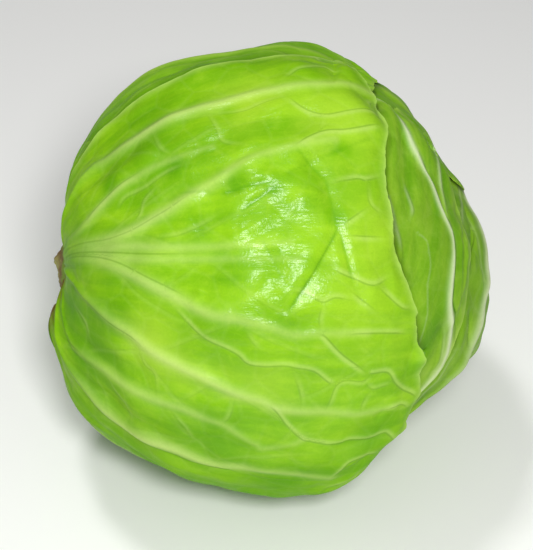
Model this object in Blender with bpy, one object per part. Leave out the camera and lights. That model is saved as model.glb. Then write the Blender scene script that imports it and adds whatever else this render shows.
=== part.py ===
# A green cabbage head, cut from its plant and lying on its side: the stalk, the packed
# heart and six wrapper leaves that lie over one another.
# Metres, +Z up. The head lies on z = 0 on a small flat spot, and the origin is on that
# spot, straight below the head's centre. The stalk's cut end points to -X, the crown to +X.
#
# A place on the head is a direction from its centre: polar degrees from the stalk's end
# (180 is the crown), and round degrees about the stalk, from the side that faces -Y and
# up (0) over the roof of the head (90) to its back (180). The flat spot is at -130.

import math
from dataclasses import dataclass

import bmesh
import bpy
import numpy as np

# Driving dimensions
HEART_RADIUS = 0.0812  # the packed heart, without its dimple and lobes
CENTRE_HEIGHT = 0.0845  # the head's centre above the surface that it lies on
FACE_TILT = 40.0  # degrees above the horizon of the side at round 0

SHEET = 0.0009  # thickness of a leaf between its ribs
RIB_RISE = 0.0012  # how far a leaf's thickest rib stands out of its outer face
LEAF_PITCH = 0.0030  # from the inside of one leaf to the inside of the leaf over it
LEAF_GAP = 0.0014  # between the heart and the leaves that lie on it
DRAPE = 0.020  # over this length a leaf comes down past the edge of the leaf below
DRAPE_MARGIN = 0.003  # a leaf holds up the one above it this far past its own edge
BASE_SHARE = 0.86  # a leaf's width about the stalk where it leaves it, to its full width

STALK_RADIUS = 0.0142
STALK_CUT_X = -0.0815  # the cut face
STALK_DEEP_X = -0.0400  # the stalk's end inside the heart
STALK_DEEP_RADIUS = 0.0080
STALK_CLEARANCE = 0.0006  # round the stalk in the heart
CUT_BEVEL = 0.0012
STALK_SIDES = 24

FACET = 0.0120  # the longest step between a leaf's rows, and across its panels
FLANK_AT = 1.35  # a rib's foot lines, in rib widths from its middle
HEART_ROWS = 24
HEART_COLUMNS = 40

AXIS = np.array((-1.0, 0.0, 0.0))  # towards the stalk's cut end
FACE = np.array((0.0, -math.cos(math.radians(FACE_TILT)), math.sin(math.radians(FACE_TILT))))
ROOF = np.array((0.0, math.sin(math.radians(FACE_TILT)), math.cos(math.radians(FACE_TILT))))

# Where the heart swells or dips: polar, round, rise in metres, half width in degrees
HEART_LOBES = (
    (2, 92, -0.0125, 17),  # the dimple round the stalk
    (13, -87, 0.0085, 9),  # its lower rim
    (40, -85, 0.0075, 21),  # the shoulder below the stalk
    (60, 92, 0.0045, 17),  # the shoulder above it
    (103, 89, 0.0060, 15),  # the roof
    (128, 88, 0.0026, 8),  # a knuckle past it
    (145, 92, -0.0045, 14),  # a flat side between the roof and the crown
    (163, 88, 0.0032, 14),  # the crown, towards the roof
    (166, -84, 0.0088, 22),  # the crown, towards the underside
    (137, -92, -0.0092, 14),  # a flat side below the crown
    (83, -123, 0.0030, 14),  # the underside, which the flat spot cuts across
)


# A leaf's ribs are arcs that leave the stalk, cross the head and would meet again
@dataclass
class Leaf:
    name: str
    meet: tuple  # polar and round of the point where the arcs meet
    through: tuple  # polar and round of a point on the middle arc
    spread: tuple  # degrees about the arcs' chord, from the middle arc, of its side edges
    start: float  # share of an arc at which the leaf leaves the core
    reach: float  # share of an arc at which its middle ends
    slant: float  # how much further it reaches at its second side than at its middle
    rounding: float  # how much less it reaches at its side edges
    ribs: tuple  # (place across the leaf at its base, the same at its tip), from -1 to 1
    rib_rise: float = RIB_RISE
    lift: float = 0.0003  # how far its free edge stands off
    waves: int = 5  # round its free edge
    free_edge: tuple = ()  # (place across, share of an arc) along it, where those don't give it
    swells: tuple = ()  # as HEART_LOBES, for a leaf that nothing lies over
    colour: tuple = (0.36, 0.60, 0.08, 1.0)


# From the innermost leaf to the outermost. Each lies on those before it. The first three
# leave the core inside the head, under the others.
LEAVES = (
    Leaf("crown_leaf", meet=(84, 98), through=(173, 0), spread=(-38, 42), start=0.42,
         reach=0.85, slant=0.02, rounding=0.14,
         ribs=((-0.66, -0.7), (-0.34, -0.38), (0.0, 0.0), (0.34, 0.38), (0.66, 0.7)),
         colour=(0.42, 0.62, 0.10, 1.0)),
    Leaf("back_inner_leaf", meet=(140, -45), through=(90, 145), spread=(-64, 64), start=0.16,
         reach=0.74, slant=0.02, rounding=0.12,
         ribs=((-0.66, -0.7), (-0.32, -0.38), (0.0, 0.0), (0.32, 0.38), (0.66, 0.7)),
         colour=(0.30, 0.52, 0.07, 1.0)),
    Leaf("crown_cover_leaf", meet=(105, 80), through=(149, 0), spread=(-50, 5), start=0.30,
         reach=0.89, slant=-0.02, rounding=0.10,
         ribs=((-0.8, -0.84), (-0.48, -0.54), (-0.14, -0.2), (0.34, 0.14), (0.76, 0.74)),
         rib_rise=0.0014, lift=0.0008, colour=(0.40, 0.64, 0.09, 1.0)),
    Leaf("under_leaf", meet=(150, 55), through=(90, -118), spread=(-66, 66), start=0.057,
         reach=0.58, slant=0.02, rounding=0.10,
         ribs=((-0.7, -0.72), (-0.34, -0.38), (0.0, 0.0), (0.34, 0.38), (0.7, 0.72)),
         colour=(0.28, 0.50, 0.08, 1.0)),
    Leaf("back_leaf", meet=(150, -70), through=(90, 116), spread=(-66, 74), start=0.057,
         reach=0.58, slant=0.02, rounding=0.10,
         ribs=((-0.7, -0.72), (-0.34, -0.38), (0.0, 0.0), (0.34, 0.38), (0.7, 0.72)),
         colour=(0.33, 0.56, 0.08, 1.0)),
    Leaf("face_leaf", meet=(150, 180), through=(90, -3), spread=(-57, 68), start=0.057,
         reach=0.60, slant=0.0, rounding=0.0,
         free_edge=((-1.0, 0.578), (-0.89, 0.589), (-0.67, 0.594), (-0.55, 0.590), (-0.45, 0.585),
                    (-0.31, 0.585), (-0.18, 0.591), (-0.03, 0.609), (0.14, 0.630), (0.245, 0.638),
                    (0.36, 0.647), (0.53, 0.645), (0.65, 0.630), (0.81, 0.606), (1.0, 0.570)),
         ribs=((-0.72, -0.78), (-0.43, -0.52), (-0.23, -0.21), (-0.05, 0.08),
               (0.16, 0.35), (0.40, 0.45), (0.64, 0.58), (0.86, 0.80)),
         rib_rise=0.0017, lift=0.0022, waves=7, swells=((102, -84, 0.0048, 16),)),
)


def direction(polar, turn):
    p, t = math.radians(polar), math.radians(turn)
    return math.cos(p) * AXIS + math.sin(p) * (math.cos(t) * FACE + math.sin(t) * ROOF)


def ease(x):
    # 0 below 0, 1 above 1, smooth between
    x = np.clip(x, 0.0, 1.0)
    return x * x * (3.0 - 2.0 * x)


def lobes(directions, places):
    # The sum of bell-shaped rises, each round its own place
    total = np.zeros(directions.shape[:-1])
    for polar, turn, rise, width in places:
        away = np.degrees(np.arccos(np.clip(directions @ direction(polar, turn), -1, 1)))
        total += rise * np.exp(-((away / width) ** 2))
    return total


def arc_frame(leaf):
    # Middle of the chord that all the leaf's arcs share, its direction, the direction of
    # the middle arc away from it, and the direction across
    end = direction(*leaf.meet)
    middle = (AXIS + end) / 2
    along = (end - AXIS) / np.linalg.norm(end - AXIS)
    out = direction(*leaf.through) - middle
    out -= (out @ along) * along
    out /= np.linalg.norm(out)
    return middle, along, out, np.cross(along, out)


def arc_circle(leaf, turn):
    # For arcs at these turns about the chord: the way out, the circle's centre and
    # radius, and the angle at which the arc leaves the stalk
    middle, along, out, across = arc_frame(leaf)
    lean = np.cos(turn)[..., None] * out + np.sin(turn)[..., None] * across
    depth = -(lean @ middle)
    centre = middle + depth[..., None] * lean
    radius = np.sqrt(1 - (centre**2).sum(-1))
    start = np.arctan2(-depth, math.sqrt(1 - middle @ middle))
    return lean, centre, radius, start


def arc_point(leaf, turn, way):
    # The direction at a share way of the arc at this turn
    along = arc_frame(leaf)[1]
    lean, centre, radius, start = arc_circle(leaf, turn)
    angle = start + way * (math.pi - 2 * start)
    return centre + radius[..., None] * (
        np.sin(angle)[..., None] * lean - np.cos(angle)[..., None] * along
    )


def arc_place(leaf, directions):
    # The reverse of arc_point: turn, way, distance from the chord and length of the arc
    middle, along, out, across = arc_frame(leaf)
    from_chord = directions - middle
    turn = np.arctan2(from_chord @ across, from_chord @ out)
    lean, centre, radius, start = arc_circle(leaf, turn)
    from_centre = directions - centre
    angle = np.arctan2((from_centre * lean).sum(-1), -(from_centre @ along))
    angle = np.where(angle < start - 1e-6, angle + 2 * math.pi, angle)
    length = (math.pi - 2 * start) * radius
    return turn, (angle - start) / (math.pi - 2 * start), (from_chord * lean).sum(-1), length


def side_share(way):
    # A leaf is a little narrower where it clasps the stalk
    return BASE_SHARE + (1 - BASE_SHARE) * ease(way / 0.26)


def half_spread(leaf, way):
    # From the leaf's own middle line to its side edge, in radians about the chord
    return math.radians(leaf.spread[1] - leaf.spread[0]) / 2 * side_share(way)


def middle_turn(leaf):
    return math.radians(leaf.spread[0] + leaf.spread[1]) / 2


def reach_at(leaf, across):
    # The share of an arc at which the leaf ends; its free edge is wavy
    wave = 0.006 * np.sin(math.pi * leaf.waves * across + 1.3)
    wave += 0.004 * np.sin(math.pi * 1.7 * leaf.waves * across + 0.4)
    if leaf.free_edge:
        return np.interp(across, *zip(*leaf.free_edge)) + 0.3 * wave
    return leaf.reach + leaf.slant * across - leaf.rounding * across**4 + wave


def cover(leaf, directions):
    # 1 where the leaf is, easing to 0 past its edges
    turn, way, arm, length = arc_place(leaf, directions)
    half = half_spread(leaf, way)
    off_middle = turn - middle_turn(leaf)
    side_room = (half - np.abs(off_middle)) * arm * HEART_RADIUS
    across = np.clip(off_middle / half, -1, 1)
    tip_room = (reach_at(leaf, across) - way) * length * HEART_RADIUS
    start_room = (way - leaf.start) * length * HEART_RADIUS
    down = 1 + DRAPE_MARGIN / DRAPE
    end_room = np.minimum(tip_room, start_room)
    return ease(down + side_room / DRAPE) * ease(down + end_room / DRAPE)


def inner_radius(level, directions):
    # From the head's centre to the inside of the leaf at this level
    below = sum(cover(leaf, directions) for leaf in LEAVES[:level])
    places = HEART_LOBES + LEAVES[level].swells
    return HEART_RADIUS + LEAF_GAP + LEAF_PITCH * below + lobes(directions, places)


def pressed(level, directions, radius, thickness=0.0):
    # The surface it lies on flattens the head's lowest part, and each leaf's share of it
    # lies above those outside it
    outside = sum(cover(leaf, directions) for leaf in LEAVES[level + 1:])
    floor = CENTRE_HEIGHT - LEAF_PITCH * outside - thickness
    down = np.maximum(-directions[..., 2], 1e-3)
    return np.minimum(radius, floor / down)


def rib_width(share):
    # A rib's half width from base to tip, in metres
    return 0.0022 + 0.0020 * ease(share / 0.3) - 0.0026 * ease((share - 0.25) / 0.75)


def rib_strength(share):
    # A rib's height from base to tip, as a share of its greatest
    return 0.35 + 0.65 * ease(share / 0.12) - 0.75 * ease((share - 0.2) / 0.8)


def rib_lines(leaf, share):
    # Each rib's place across the leaf and its half width in the same measure, per row
    base = np.array([rib[0] for rib in leaf.ribs])
    tip = np.array([rib[1] for rib in leaf.ribs])
    across = base + (tip - base) * ease(share)[:, None]
    way = leaf.start + (reach_at(leaf, across) - leaf.start) * share[:, None]
    turn = middle_turn(leaf) + across * half_spread(leaf, way)
    arm = arc_place(leaf, arc_point(leaf, turn, way))[2]
    half_length = HEART_RADIUS * np.maximum(arm, 0.05) * half_spread(leaf, way)
    wide = rib_width(share)[:, None] / half_length
    room = np.diff(across, axis=1)
    nearest = np.minimum(np.pad(room, ((0, 0), (1, 0)), mode="edge"),
                         np.pad(room, ((0, 0), (0, 1)), mode="edge"))
    to_edge = 1 - np.abs(across)
    return across, np.minimum(wide, 0.3 / FLANK_AT * np.minimum(nearest, 2 * to_edge))


def leaf_size(leaf):
    # Its length along its middle line, and its greatest width
    way = np.linspace(leaf.start, leaf.reach, 9)
    turn = np.full(9, middle_turn(leaf))
    arm, length = arc_place(leaf, arc_point(leaf, turn, way))[2:]
    width = 2 * (half_spread(leaf, way) * arm).max()
    return HEART_RADIUS * length[0] * (leaf.reach - leaf.start), HEART_RADIUS * width


def leaf_columns(leaf, middles, widths):
    # Places across the leaf, per row: each rib's foot, crest and foot, and equal steps
    # over the panels between them
    edge = np.ones(len(middles))
    lefts = [-edge, *(middles + FLANK_AT * widths).T]
    rights = [*(middles - FLANK_AT * widths).T, edge]
    columns = []
    for i, (left, right) in enumerate(zip(lefts, rights)):
        steps = math.ceil((right - left).max() / 2 * leaf_size(leaf)[1] / FACET)
        columns += [left + (right - left) * k / steps for k in range(steps + 1)]
        if i < len(leaf.ribs):
            columns.append(middles[:, i])
    return np.stack(columns, axis=1)


def ribs_at(leaf, share, across, middles, widths):
    # Height of the ribs over the sheet
    bells = [
        np.exp(-(((across - middles[:, i:i + 1]) / widths[:, i:i + 1]) ** 2))
        for i in range(len(leaf.ribs))
    ]
    return leaf.rib_rise * rib_strength(share)[:, None] * np.max(bells, axis=0)


def edge_lift(leaf, share, across):
    # A free edge stands off the head, more in some places than in others
    near_tip = ease((share[:, None] - 0.80) / 0.20)
    near_side = ease((np.abs(across) - 0.90) / 0.10) * ease(share / 0.3)[:, None]
    wave = 0.6 + 0.4 * np.sin(math.pi * leaf.waves * across + 2.1 * share[:, None])
    return leaf.lift * np.maximum(near_tip, 0.4 * near_side) * wave


def leaf_faces(rows, columns):
    # The leaf's outer and inner grids in the same triangles, and the rim between them
    number = np.arange(rows * columns).reshape(rows, columns)
    a, b = number[:-1, :-1].ravel(), number[:-1, 1:].ravel()
    c, d = number[1:, 1:].ravel(), number[1:, :-1].ravel()
    outer = np.concatenate([np.stack([a, b, c], 1), np.stack([a, c, d], 1)])
    inner = outer[:, ::-1] + number.size
    rim = np.concatenate([number[0, :-1], number[:-1, -1], number[-1, :0:-1], number[:0:-1, 0]])
    after = np.roll(rim, -1)
    sides = np.concatenate([
        np.stack([rim, rim + number.size, after], 1),
        np.stack([after, rim + number.size, after + number.size], 1),
    ])
    return np.concatenate([outer, inner, sides])


def material(name, colour, roughness):
    made = bpy.data.materials.new(name)
    made.use_nodes = True
    shader = made.node_tree.nodes["Principled BSDF"]
    shader.inputs["Base Color"].default_value = colour
    shader.inputs["Roughness"].default_value = roughness
    shader.inputs["Metallic"].default_value = 0.0
    return made


def add_object(name, points, faces, finish):
    # A closed mesh as an object, shaded smooth, with its faces pointing out
    mesh = bpy.data.meshes.new(name)
    mesh.from_pydata(points.tolist(), [], [list(map(int, face)) for face in faces])
    shape = bmesh.new()
    shape.from_mesh(mesh)
    bmesh.ops.recalc_face_normals(shape, faces=shape.faces)
    shape.to_mesh(mesh)
    shape.free()
    mesh.shade_smooth()
    mesh.set_sharp_from_angle(angle=math.radians(50))
    mesh.materials.append(finish)
    made = bpy.data.objects.new(name, mesh)
    bpy.context.scene.collection.objects.link(made)
    return made


def head_points(directions, radius):
    points = directions * radius[..., None]
    points[..., 2] += CENTRE_HEIGHT
    return points


def build_leaf(level):
    leaf = LEAVES[level]
    share = np.linspace(0, 1, math.ceil(leaf_size(leaf)[0] / FACET) + 1)
    middles, widths = rib_lines(leaf, share)
    across = leaf_columns(leaf, middles, widths)
    way = leaf.start + (reach_at(leaf, across) - leaf.start) * share[:, None]
    turn = middle_turn(leaf) + across * half_spread(leaf, way)
    directions = arc_point(leaf, turn, way)

    inside = inner_radius(level, directions) + edge_lift(leaf, share, across)
    outside = inside + SHEET + ribs_at(leaf, share, across, middles, widths)
    outer = head_points(directions, pressed(level, directions, outside))
    inner = head_points(directions, pressed(level, directions, inside, SHEET))
    points = np.concatenate([outer.reshape(-1, 3), inner.reshape(-1, 3)])
    finish = material(leaf.name, leaf.colour, 0.38)
    return add_object(leaf.name, points, leaf_faces(*across.shape), finish)


def ring(x, radius, sides):
    # Points round the stalk's axis; the radius may differ from one to the next
    turn = np.linspace(0, 2 * math.pi, sides, endpoint=False)
    points = radius * (np.cos(turn)[:, None] * FACE + np.sin(turn)[:, None] * ROOF)
    points[:, 0] += x
    points[:, 2] += CENTRE_HEIGHT
    return points


def ring_faces(rings, sides):
    # Quads between neighbouring rings, and a fan over the first and the last, whose
    # middle points come after all the rings
    number = np.arange(rings * sides).reshape(rings, sides)
    after = np.roll(number, -1, axis=1)
    walls = np.stack([number[:-1], after[:-1], after[1:], number[1:]], -1).reshape(-1, 4)
    first, last = rings * sides, rings * sides + 1
    caps = [(first, after[0, i], number[0, i]) for i in range(sides)]
    caps += [(last, number[-1, i], after[-1, i]) for i in range(sides)]
    return [*walls.tolist(), *caps]


def axis_point(x):
    return np.array([[x, 0.0, CENTRE_HEIGHT]])


def build_heart():
    # From the bottom of the stalk's hole, out over the mouth and round to the crown
    dimple = HEART_RADIUS + float(lobes(AXIS, HEART_LOBES))
    mouth = math.asin((STALK_RADIUS + STALK_CLEARANCE) / dimple)
    polar = np.linspace(mouth, math.radians(177), HEART_ROWS)
    turn = np.linspace(0, 2 * math.pi, HEART_COLUMNS, endpoint=False)
    around = np.cos(turn)[:, None] * FACE + np.sin(turn)[:, None] * ROOF
    directions = np.cos(polar)[:, None, None] * AXIS + np.sin(polar)[:, None, None] * around
    radius = HEART_RADIUS + lobes(directions, HEART_LOBES)
    outside = head_points(directions, pressed(-1, directions, radius))
    hole = ring(STALK_DEEP_X + STALK_CLEARANCE, STALK_DEEP_RADIUS + STALK_CLEARANCE, HEART_COLUMNS)
    crown = HEART_RADIUS + float(lobes(-AXIS, HEART_LOBES))
    points = np.concatenate([
        hole, outside.reshape(-1, 3), axis_point(STALK_DEEP_X + STALK_CLEARANCE), axis_point(crown)
    ])
    faces = ring_faces(HEART_ROWS + 1, HEART_COLUMNS)
    return add_object("heart", points, faces, material("heart", (0.55, 0.68, 0.26, 1.0), 0.45))


def build_stalk():
    # A tapering plug, grooved where the leaves leave it, with a flat cut face
    turn = np.linspace(0, 2 * math.pi, STALK_SIDES, endpoint=False)
    grooves = 0.0004 * np.cos(5 * turn)[:, None] - 0.0004
    rings = [
        ring(STALK_DEEP_X, STALK_DEEP_RADIUS, STALK_SIDES),
        ring(-0.0640, STALK_RADIUS - 0.0010, STALK_SIDES),
        ring(STALK_CUT_X + CUT_BEVEL, STALK_RADIUS + grooves, STALK_SIDES),
        ring(STALK_CUT_X, STALK_RADIUS - CUT_BEVEL + grooves, STALK_SIDES),
    ]
    points = np.concatenate([*rings, axis_point(STALK_DEEP_X), axis_point(STALK_CUT_X)])
    faces = ring_faces(len(rings), STALK_SIDES)
    return add_object("stalk", points, faces, material("stalk", (0.62, 0.55, 0.33, 1.0), 0.7))


for old in list(bpy.data.objects):
    bpy.data.objects.remove(old)

build_stalk()
build_heart()
for level in range(len(LEAVES)):
    build_leaf(level)
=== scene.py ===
import math

import bpy
import numpy as np
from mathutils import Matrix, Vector


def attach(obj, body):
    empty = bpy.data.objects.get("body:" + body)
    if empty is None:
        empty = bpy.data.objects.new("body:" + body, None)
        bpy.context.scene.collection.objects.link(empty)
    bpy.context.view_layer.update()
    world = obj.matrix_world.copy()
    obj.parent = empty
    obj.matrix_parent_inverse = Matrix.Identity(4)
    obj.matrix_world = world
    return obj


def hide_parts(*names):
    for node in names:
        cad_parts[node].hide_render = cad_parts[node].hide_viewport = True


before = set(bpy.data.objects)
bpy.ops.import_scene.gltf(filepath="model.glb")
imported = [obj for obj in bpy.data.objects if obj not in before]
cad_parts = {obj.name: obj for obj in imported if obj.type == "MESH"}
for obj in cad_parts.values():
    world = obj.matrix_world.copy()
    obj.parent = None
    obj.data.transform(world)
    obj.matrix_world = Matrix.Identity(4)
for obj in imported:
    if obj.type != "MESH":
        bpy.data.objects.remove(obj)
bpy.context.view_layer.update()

# A green cabbage head on its side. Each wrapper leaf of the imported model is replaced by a
# finer one of the same form, with ribs, fine veins, folds and a worn free edge.
# A place on the head is a direction from its centre: polar degrees from the stalk's end and
# round degrees about the stalk, from the side that faces the camera (0) over the roof (90).
# Lengths are in metres unless a note gives another unit.

head = {
    "heartRadius": 0.0812,
    "centreHeight": 0.0845,
    "faceTilt": 40.0,  # degrees by which the face looks up
    "meanRadius": 0.0870,  # the sphere on which veins and folds are laid out
    "wayLength": 0.27,  # a leaf's length for a way of 1
    "pitch": 0.0030,  # how far each leaf lifts the ones over it
    "gap": 0.0014,  # between the heart and the first leaf
    "drape": 0.020,  # past a leaf's edge the ones over it come down within this
    "drapeMargin": 0.003,
    "baseShare": 0.86,  # a leaf's width at the stalk as a share of its full width
    "baseWay": 0.26,  # the way at which it has its full width
    "lobes": (  # polar and round degrees, rise, width in degrees
        (2, 92, -0.0125, 17), (13, -87, 0.0085, 9), (40, -85, 0.0075, 21), (60, 92, 0.0045, 17),
        (103, 89, 0.0060, 15), (128, 88, 0.0026, 8), (145, 92, -0.0045, 14),
        (163, 88, 0.0032, 14), (166, -84, 0.0088, 22), (137, -92, -0.0092, 14),
        (83, -123, 0.0030, 14),
    ),
}

tilt = math.radians(head["faceTilt"])
stalkWay = np.array((-1.0, 0.0, 0.0))
faceWay = np.array((0.0, -math.cos(tilt), math.sin(tilt)))
roofWay = np.array((0.0, math.sin(tilt), math.cos(tilt)))


def smooth(x):  # 0 below 0, 1 above 1, and 3x^2 - 2x^3 between
    x = np.clip(x, 0.0, 1.0)
    return x * x * (3.0 - 2.0 * x)


def bell(x):  # exp(-x^2)
    return np.exp(-(x**2))


def headWay(polar, around):  # the unit direction at these polar and round degrees
    p, r = math.radians(polar), math.radians(around)
    return math.cos(p) * stalkWay + math.sin(p) * (math.cos(r) * faceWay + math.sin(r) * roofWay)


def degreesFrom(ways, way):  # the angle whose cosine is the product of the two directions
    return np.degrees(np.arccos(np.clip(ways @ way, -1, 1)))


def lobeRise(ways, places):  # a sum of bells, rise * exp(-(angle / width)^2), each round its place
    total = np.zeros(ways.shape[:-1])
    for polar, around, rise, width in places:
        total += rise * bell(degreesFrom(ways, headWay(polar, around)) / width)
    return total


# A leaf's ribs are arcs that leave the stalk, cross the head and would meet again. A point of
# the leaf is a turn about the arcs' chord and a share of the arc, called its way.
def arcFrame(leaf):  # the chord's middle and direction, and two directions square to it
    end = headWay(*leaf["meet"])
    middle = (stalkWay + end) / 2
    along = (end - stalkWay) / np.linalg.norm(end - stalkWay)
    out = headWay(*leaf["through"]) - middle
    out = out - (out @ along) * along
    out = out / np.linalg.norm(out)
    return middle, along, out, np.cross(along, out)


def arcCircle(leaf, turn):
    # The plane at this turn cuts the unit sphere in a circle: its lean away from the chord,
    # its centre, its radius, and the angle on it at which the arc starts
    middle, along, out, across = arcFrame(leaf)
    lean = np.cos(turn)[..., None] * out + np.sin(turn)[..., None] * across
    depth = -(lean @ middle)
    centre = middle + depth[..., None] * lean
    radius = np.sqrt(1 - (centre**2).sum(-1))
    return lean, centre, radius, np.arctan2(-depth, math.sqrt(1 - middle @ middle))


def arcPoint(leaf, turn, way):  # centre + radius * (sin(angle) * lean - cos(angle) * along)
    along = arcFrame(leaf)[1]
    lean, centre, radius, first = arcCircle(leaf, turn)
    angle = first + way * (math.pi - 2 * first)
    swing = np.sin(angle)[..., None] * lean - np.cos(angle)[..., None] * along
    return centre + radius[..., None] * swing


def arcPlace(leaf, ways):  # the reverse: turn, way, distance from the chord, arc length
    middle, along, out, across = arcFrame(leaf)
    fromChord = ways - middle
    turn = np.arctan2(fromChord @ across, fromChord @ out)
    lean, centre, radius, first = arcCircle(leaf, turn)
    fromCentre = ways - centre
    angle = np.arctan2((fromCentre * lean).sum(-1), -(fromCentre @ along))
    angle = np.where(angle < first - 1e-6, angle + 2 * math.pi, angle)
    length = (math.pi - 2 * first) * radius
    return turn, (angle - first) / (math.pi - 2 * first), (fromChord * lean).sum(-1), length


def halfSpread(leaf, way):
    # Radians from the middle line to the side edge: half the spread, times a share that eases
    # from the base share at the stalk up to 1
    share = head["baseShare"] + (1 - head["baseShare"]) * smooth(way / head["baseWay"])
    return math.radians(leaf["spread"][1] - leaf["spread"][0]) / 2 * share


def middleTurn(leaf):  # half way between its two sides
    return math.radians(leaf["spread"][0] + leaf["spread"][1]) / 2


def turnAt(leaf, across, way):  # middle turn + across * half spread, so -1 and 1 are the side edges
    return middleTurn(leaf) + across * halfSpread(leaf, way)


def meanPoint(leaf, turn, way):  # the arc's direction * the mean radius
    return arcPoint(leaf, turn, way) * head["meanRadius"]


edgeShape = {
    "waves": ((0.006, 1.0, 1.3), (0.004, 1.7, 0.4)),  # height as a way, times the leaf's, phase
    "markedShare": 0.15,  # how much of them is left on an edge whose course is given
    "worn": (0.31, 0.17, 0.083, 0.047, 0.029),  # lengths of the wear, as shares of half the edge
    "wornFrom": 0.0015,  # the edge is worn where their sum is above minus this
    "nickDepth": (0.004, 0.012),
    "nickWidth": (0.006, 0.014),
}


def edgeWay(leaf, across):
    # The way of the free edge: its given course and a little of the waves, or else
    # reach + slant * across - rounding * across^4 + waves
    wave = sum(height * np.sin(math.pi * times * leaf["waves"] * across + phase)
               for height, times, phase in edgeShape["waves"])
    if leaf["freeEdge"]:
        return np.interp(across, *zip(*leaf["freeEdge"])) + edgeShape["markedShare"] * wave
    return leaf["reach"] + leaf["slant"] * across - leaf["rounding"] * across**4 + wave


def leafRooms(leaf, ways):
    # Across, share, and the metres left to its side, free edge and start: the turn left times
    # the distance from the chord, or the way left times the arc's length
    turn, way, arm, length = arcPlace(leaf, ways)
    half = halfSpread(leaf, way)
    offMiddle = turn - middleTurn(leaf)
    across = np.clip(offMiddle / half, -1, 1)
    end = edgeWay(leaf, across)
    side = (half - np.abs(offMiddle)) * arm * head["heartRadius"]
    tip = (end - way) * length * head["heartRadius"]
    start = (way - leaf["start"]) * length * head["heartRadius"]
    return across, (way - leaf["start"]) / (end - leaf["start"]), side, tip, start


def nearestRoom(leaf, ways):  # the least of its three rooms, below 0 past its edges
    return np.minimum.reduce(leafRooms(leaf, ways)[2:])


def cover(leaf, ways):  # 1 on the leaf, easing to 0 over the drape past its edges
    side, tip, start = leafRooms(leaf, ways)[2:]
    down = 1 + head["drapeMargin"] / head["drape"]
    ends = np.minimum(tip, start)
    return smooth(down + side / head["drape"]) * smooth(down + ends / head["drape"])


def innerRadius(level, ways):  # heart + gap + one pitch for each leaf below + the lobes
    below = sum(cover(leaf, ways) for leaf in leaves[:level])
    places = head["lobes"] + leaves[level]["swells"]
    return head["heartRadius"] + head["gap"] + head["pitch"] * below + lobeRise(ways, places)


def pressDown(level, ways, radius, under=0.0):
    # Flat where the head lies on the surface: the radius is at most the centre's height, less
    # one pitch for each leaf outside, over the steepness of the way down
    outside = sum(cover(leaf, ways) for leaf in leaves[level + 1:])
    floorRadius = head["centreHeight"] - head["pitch"] * outside - under
    return np.minimum(radius, floorRadius / np.maximum(-ways[..., 2], 1e-3))


def headPoints(ways, radius):  # way * radius, raised by the centre's height
    points = ways * radius[..., None]
    points[..., 2] += head["centreHeight"]
    return points


def curved(places, steps=5):
    # A smooth curve through the places: over each stretch from b to c, between a and d,
    # (2b + (c-a)t + (2a-5b+4c-d)t^2 + (3b-a-3c+d)t^3) / 2
    p = np.array(places, float)
    p = np.vstack([2 * p[0] - p[1], p, 2 * p[-1] - p[-2]])
    a, b, c, d = p[:-3], p[1:-2], p[2:-1], p[3:]
    t = (np.arange(steps) / steps)[:, None, None]
    curve = 2 * b + (c - a) * t + (2 * a - 5 * b + 4 * c - d) * t**2 + (3 * b - a - 3 * c + d) * t**3
    return np.vstack([(curve / 2).transpose(1, 0, 2).reshape(-1, 2), p[-2]])


def layOut(leaf, places):  # (way, turn in degrees) pairs as points on the mean sphere
    way, turn = np.array(places, float).T
    return meanPoint(leaf, np.radians(turn), way)


ribShape = {
    "knots": 34,
    "end": 0.97,  # where a fanned rib stops, as a share of the leaf's length
    "sway": 0.012,  # and how far it wanders, as a share of the leaf's half width
    # A course along a rib: its value at the stalk, then changes, each with the share of the
    # rib where it sets in and the share that it takes
    "width": (0.32, (0.78, 0.0, 0.38), (-0.38, 0.45, 0.55)),
    "rise": (0.60, (0.40, 0.0, 0.2), (-0.7, 0.3, 0.7)),
    "pale": (0.03, (0.97, 0.15, 0.36)),
    "fade": (0.4, 0.6),  # where the tone's last change sets in and what it takes
    "foot": 0.2,  # this much of a rib is a bell that is
    "footWidth": 3,  # this many times as wide in its height
    "footPale": 2,  # and in its tone
}


def ribPaths(leaf):
    # Each rib as ways and turns, from the stalk to where it fades: a given course, or one whose
    # across eases from its first value to its last with a sine wave for its sway
    paths = []
    for line in leaf["ribLines"]:
        way, turn = curved(line).T
        paths.append((way, np.radians(turn)))
    for first, last in leaf["fan"]:
        share = np.linspace(0, ribShape["end"], ribShape["knots"])
        across = first + (last - first) * smooth(share) + ribShape["sway"] * np.sin(9 * share + 40 * first)
        way = leaf["start"] + (edgeWay(leaf, across) - leaf["start"]) * share
        paths.append((way, turnAt(leaf, across, way)))
    return paths


def courseAt(course, share):  # the course's first value and its smooth changes up to this share
    value, *changes = course
    for change, first, length in changes:
        value = value + change * smooth((share - first) / length)
    return value


def ribVeins(leaf, paths):  # every rib tapers and sinks into the blade towards its end
    veins = []
    look = leaf["veinLook"]
    strengths = leaf["ribStrengths"] or (1.0,) * len(paths)
    for (way, turn), strength in zip(paths, strengths):
        share = (way - way[0]) / (way[-1] - way[0])
        height = look["ribRise"] * courseAt(ribShape["rise"], share) * strength
        width = look["ribWidth"] * courseAt(ribShape["width"], share) * strength**0.5
        pale = courseAt((*ribShape["pale"], (-look["ribFade"], *ribShape["fade"])), share)
        veins.append((meanPoint(leaf, turn, way), height, width, look["ribPale"] * pale * strength**0.8))
    return veins


branches = {
    "first": (0.05, 0.09),  # ways from the ribs' start to the first one
    "apart": (0.045, 0.085),
    "angle": (24, 52),  # degrees from its rib
    "bend": (0.82, 1.12),  # each step turns it by this factor
    "step": 0.0024,
    "steps": 18,
    "past": 0.03,  # ways past the ribs' ends at which it stops
    "weight": (0.5, 1.0),
}


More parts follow.
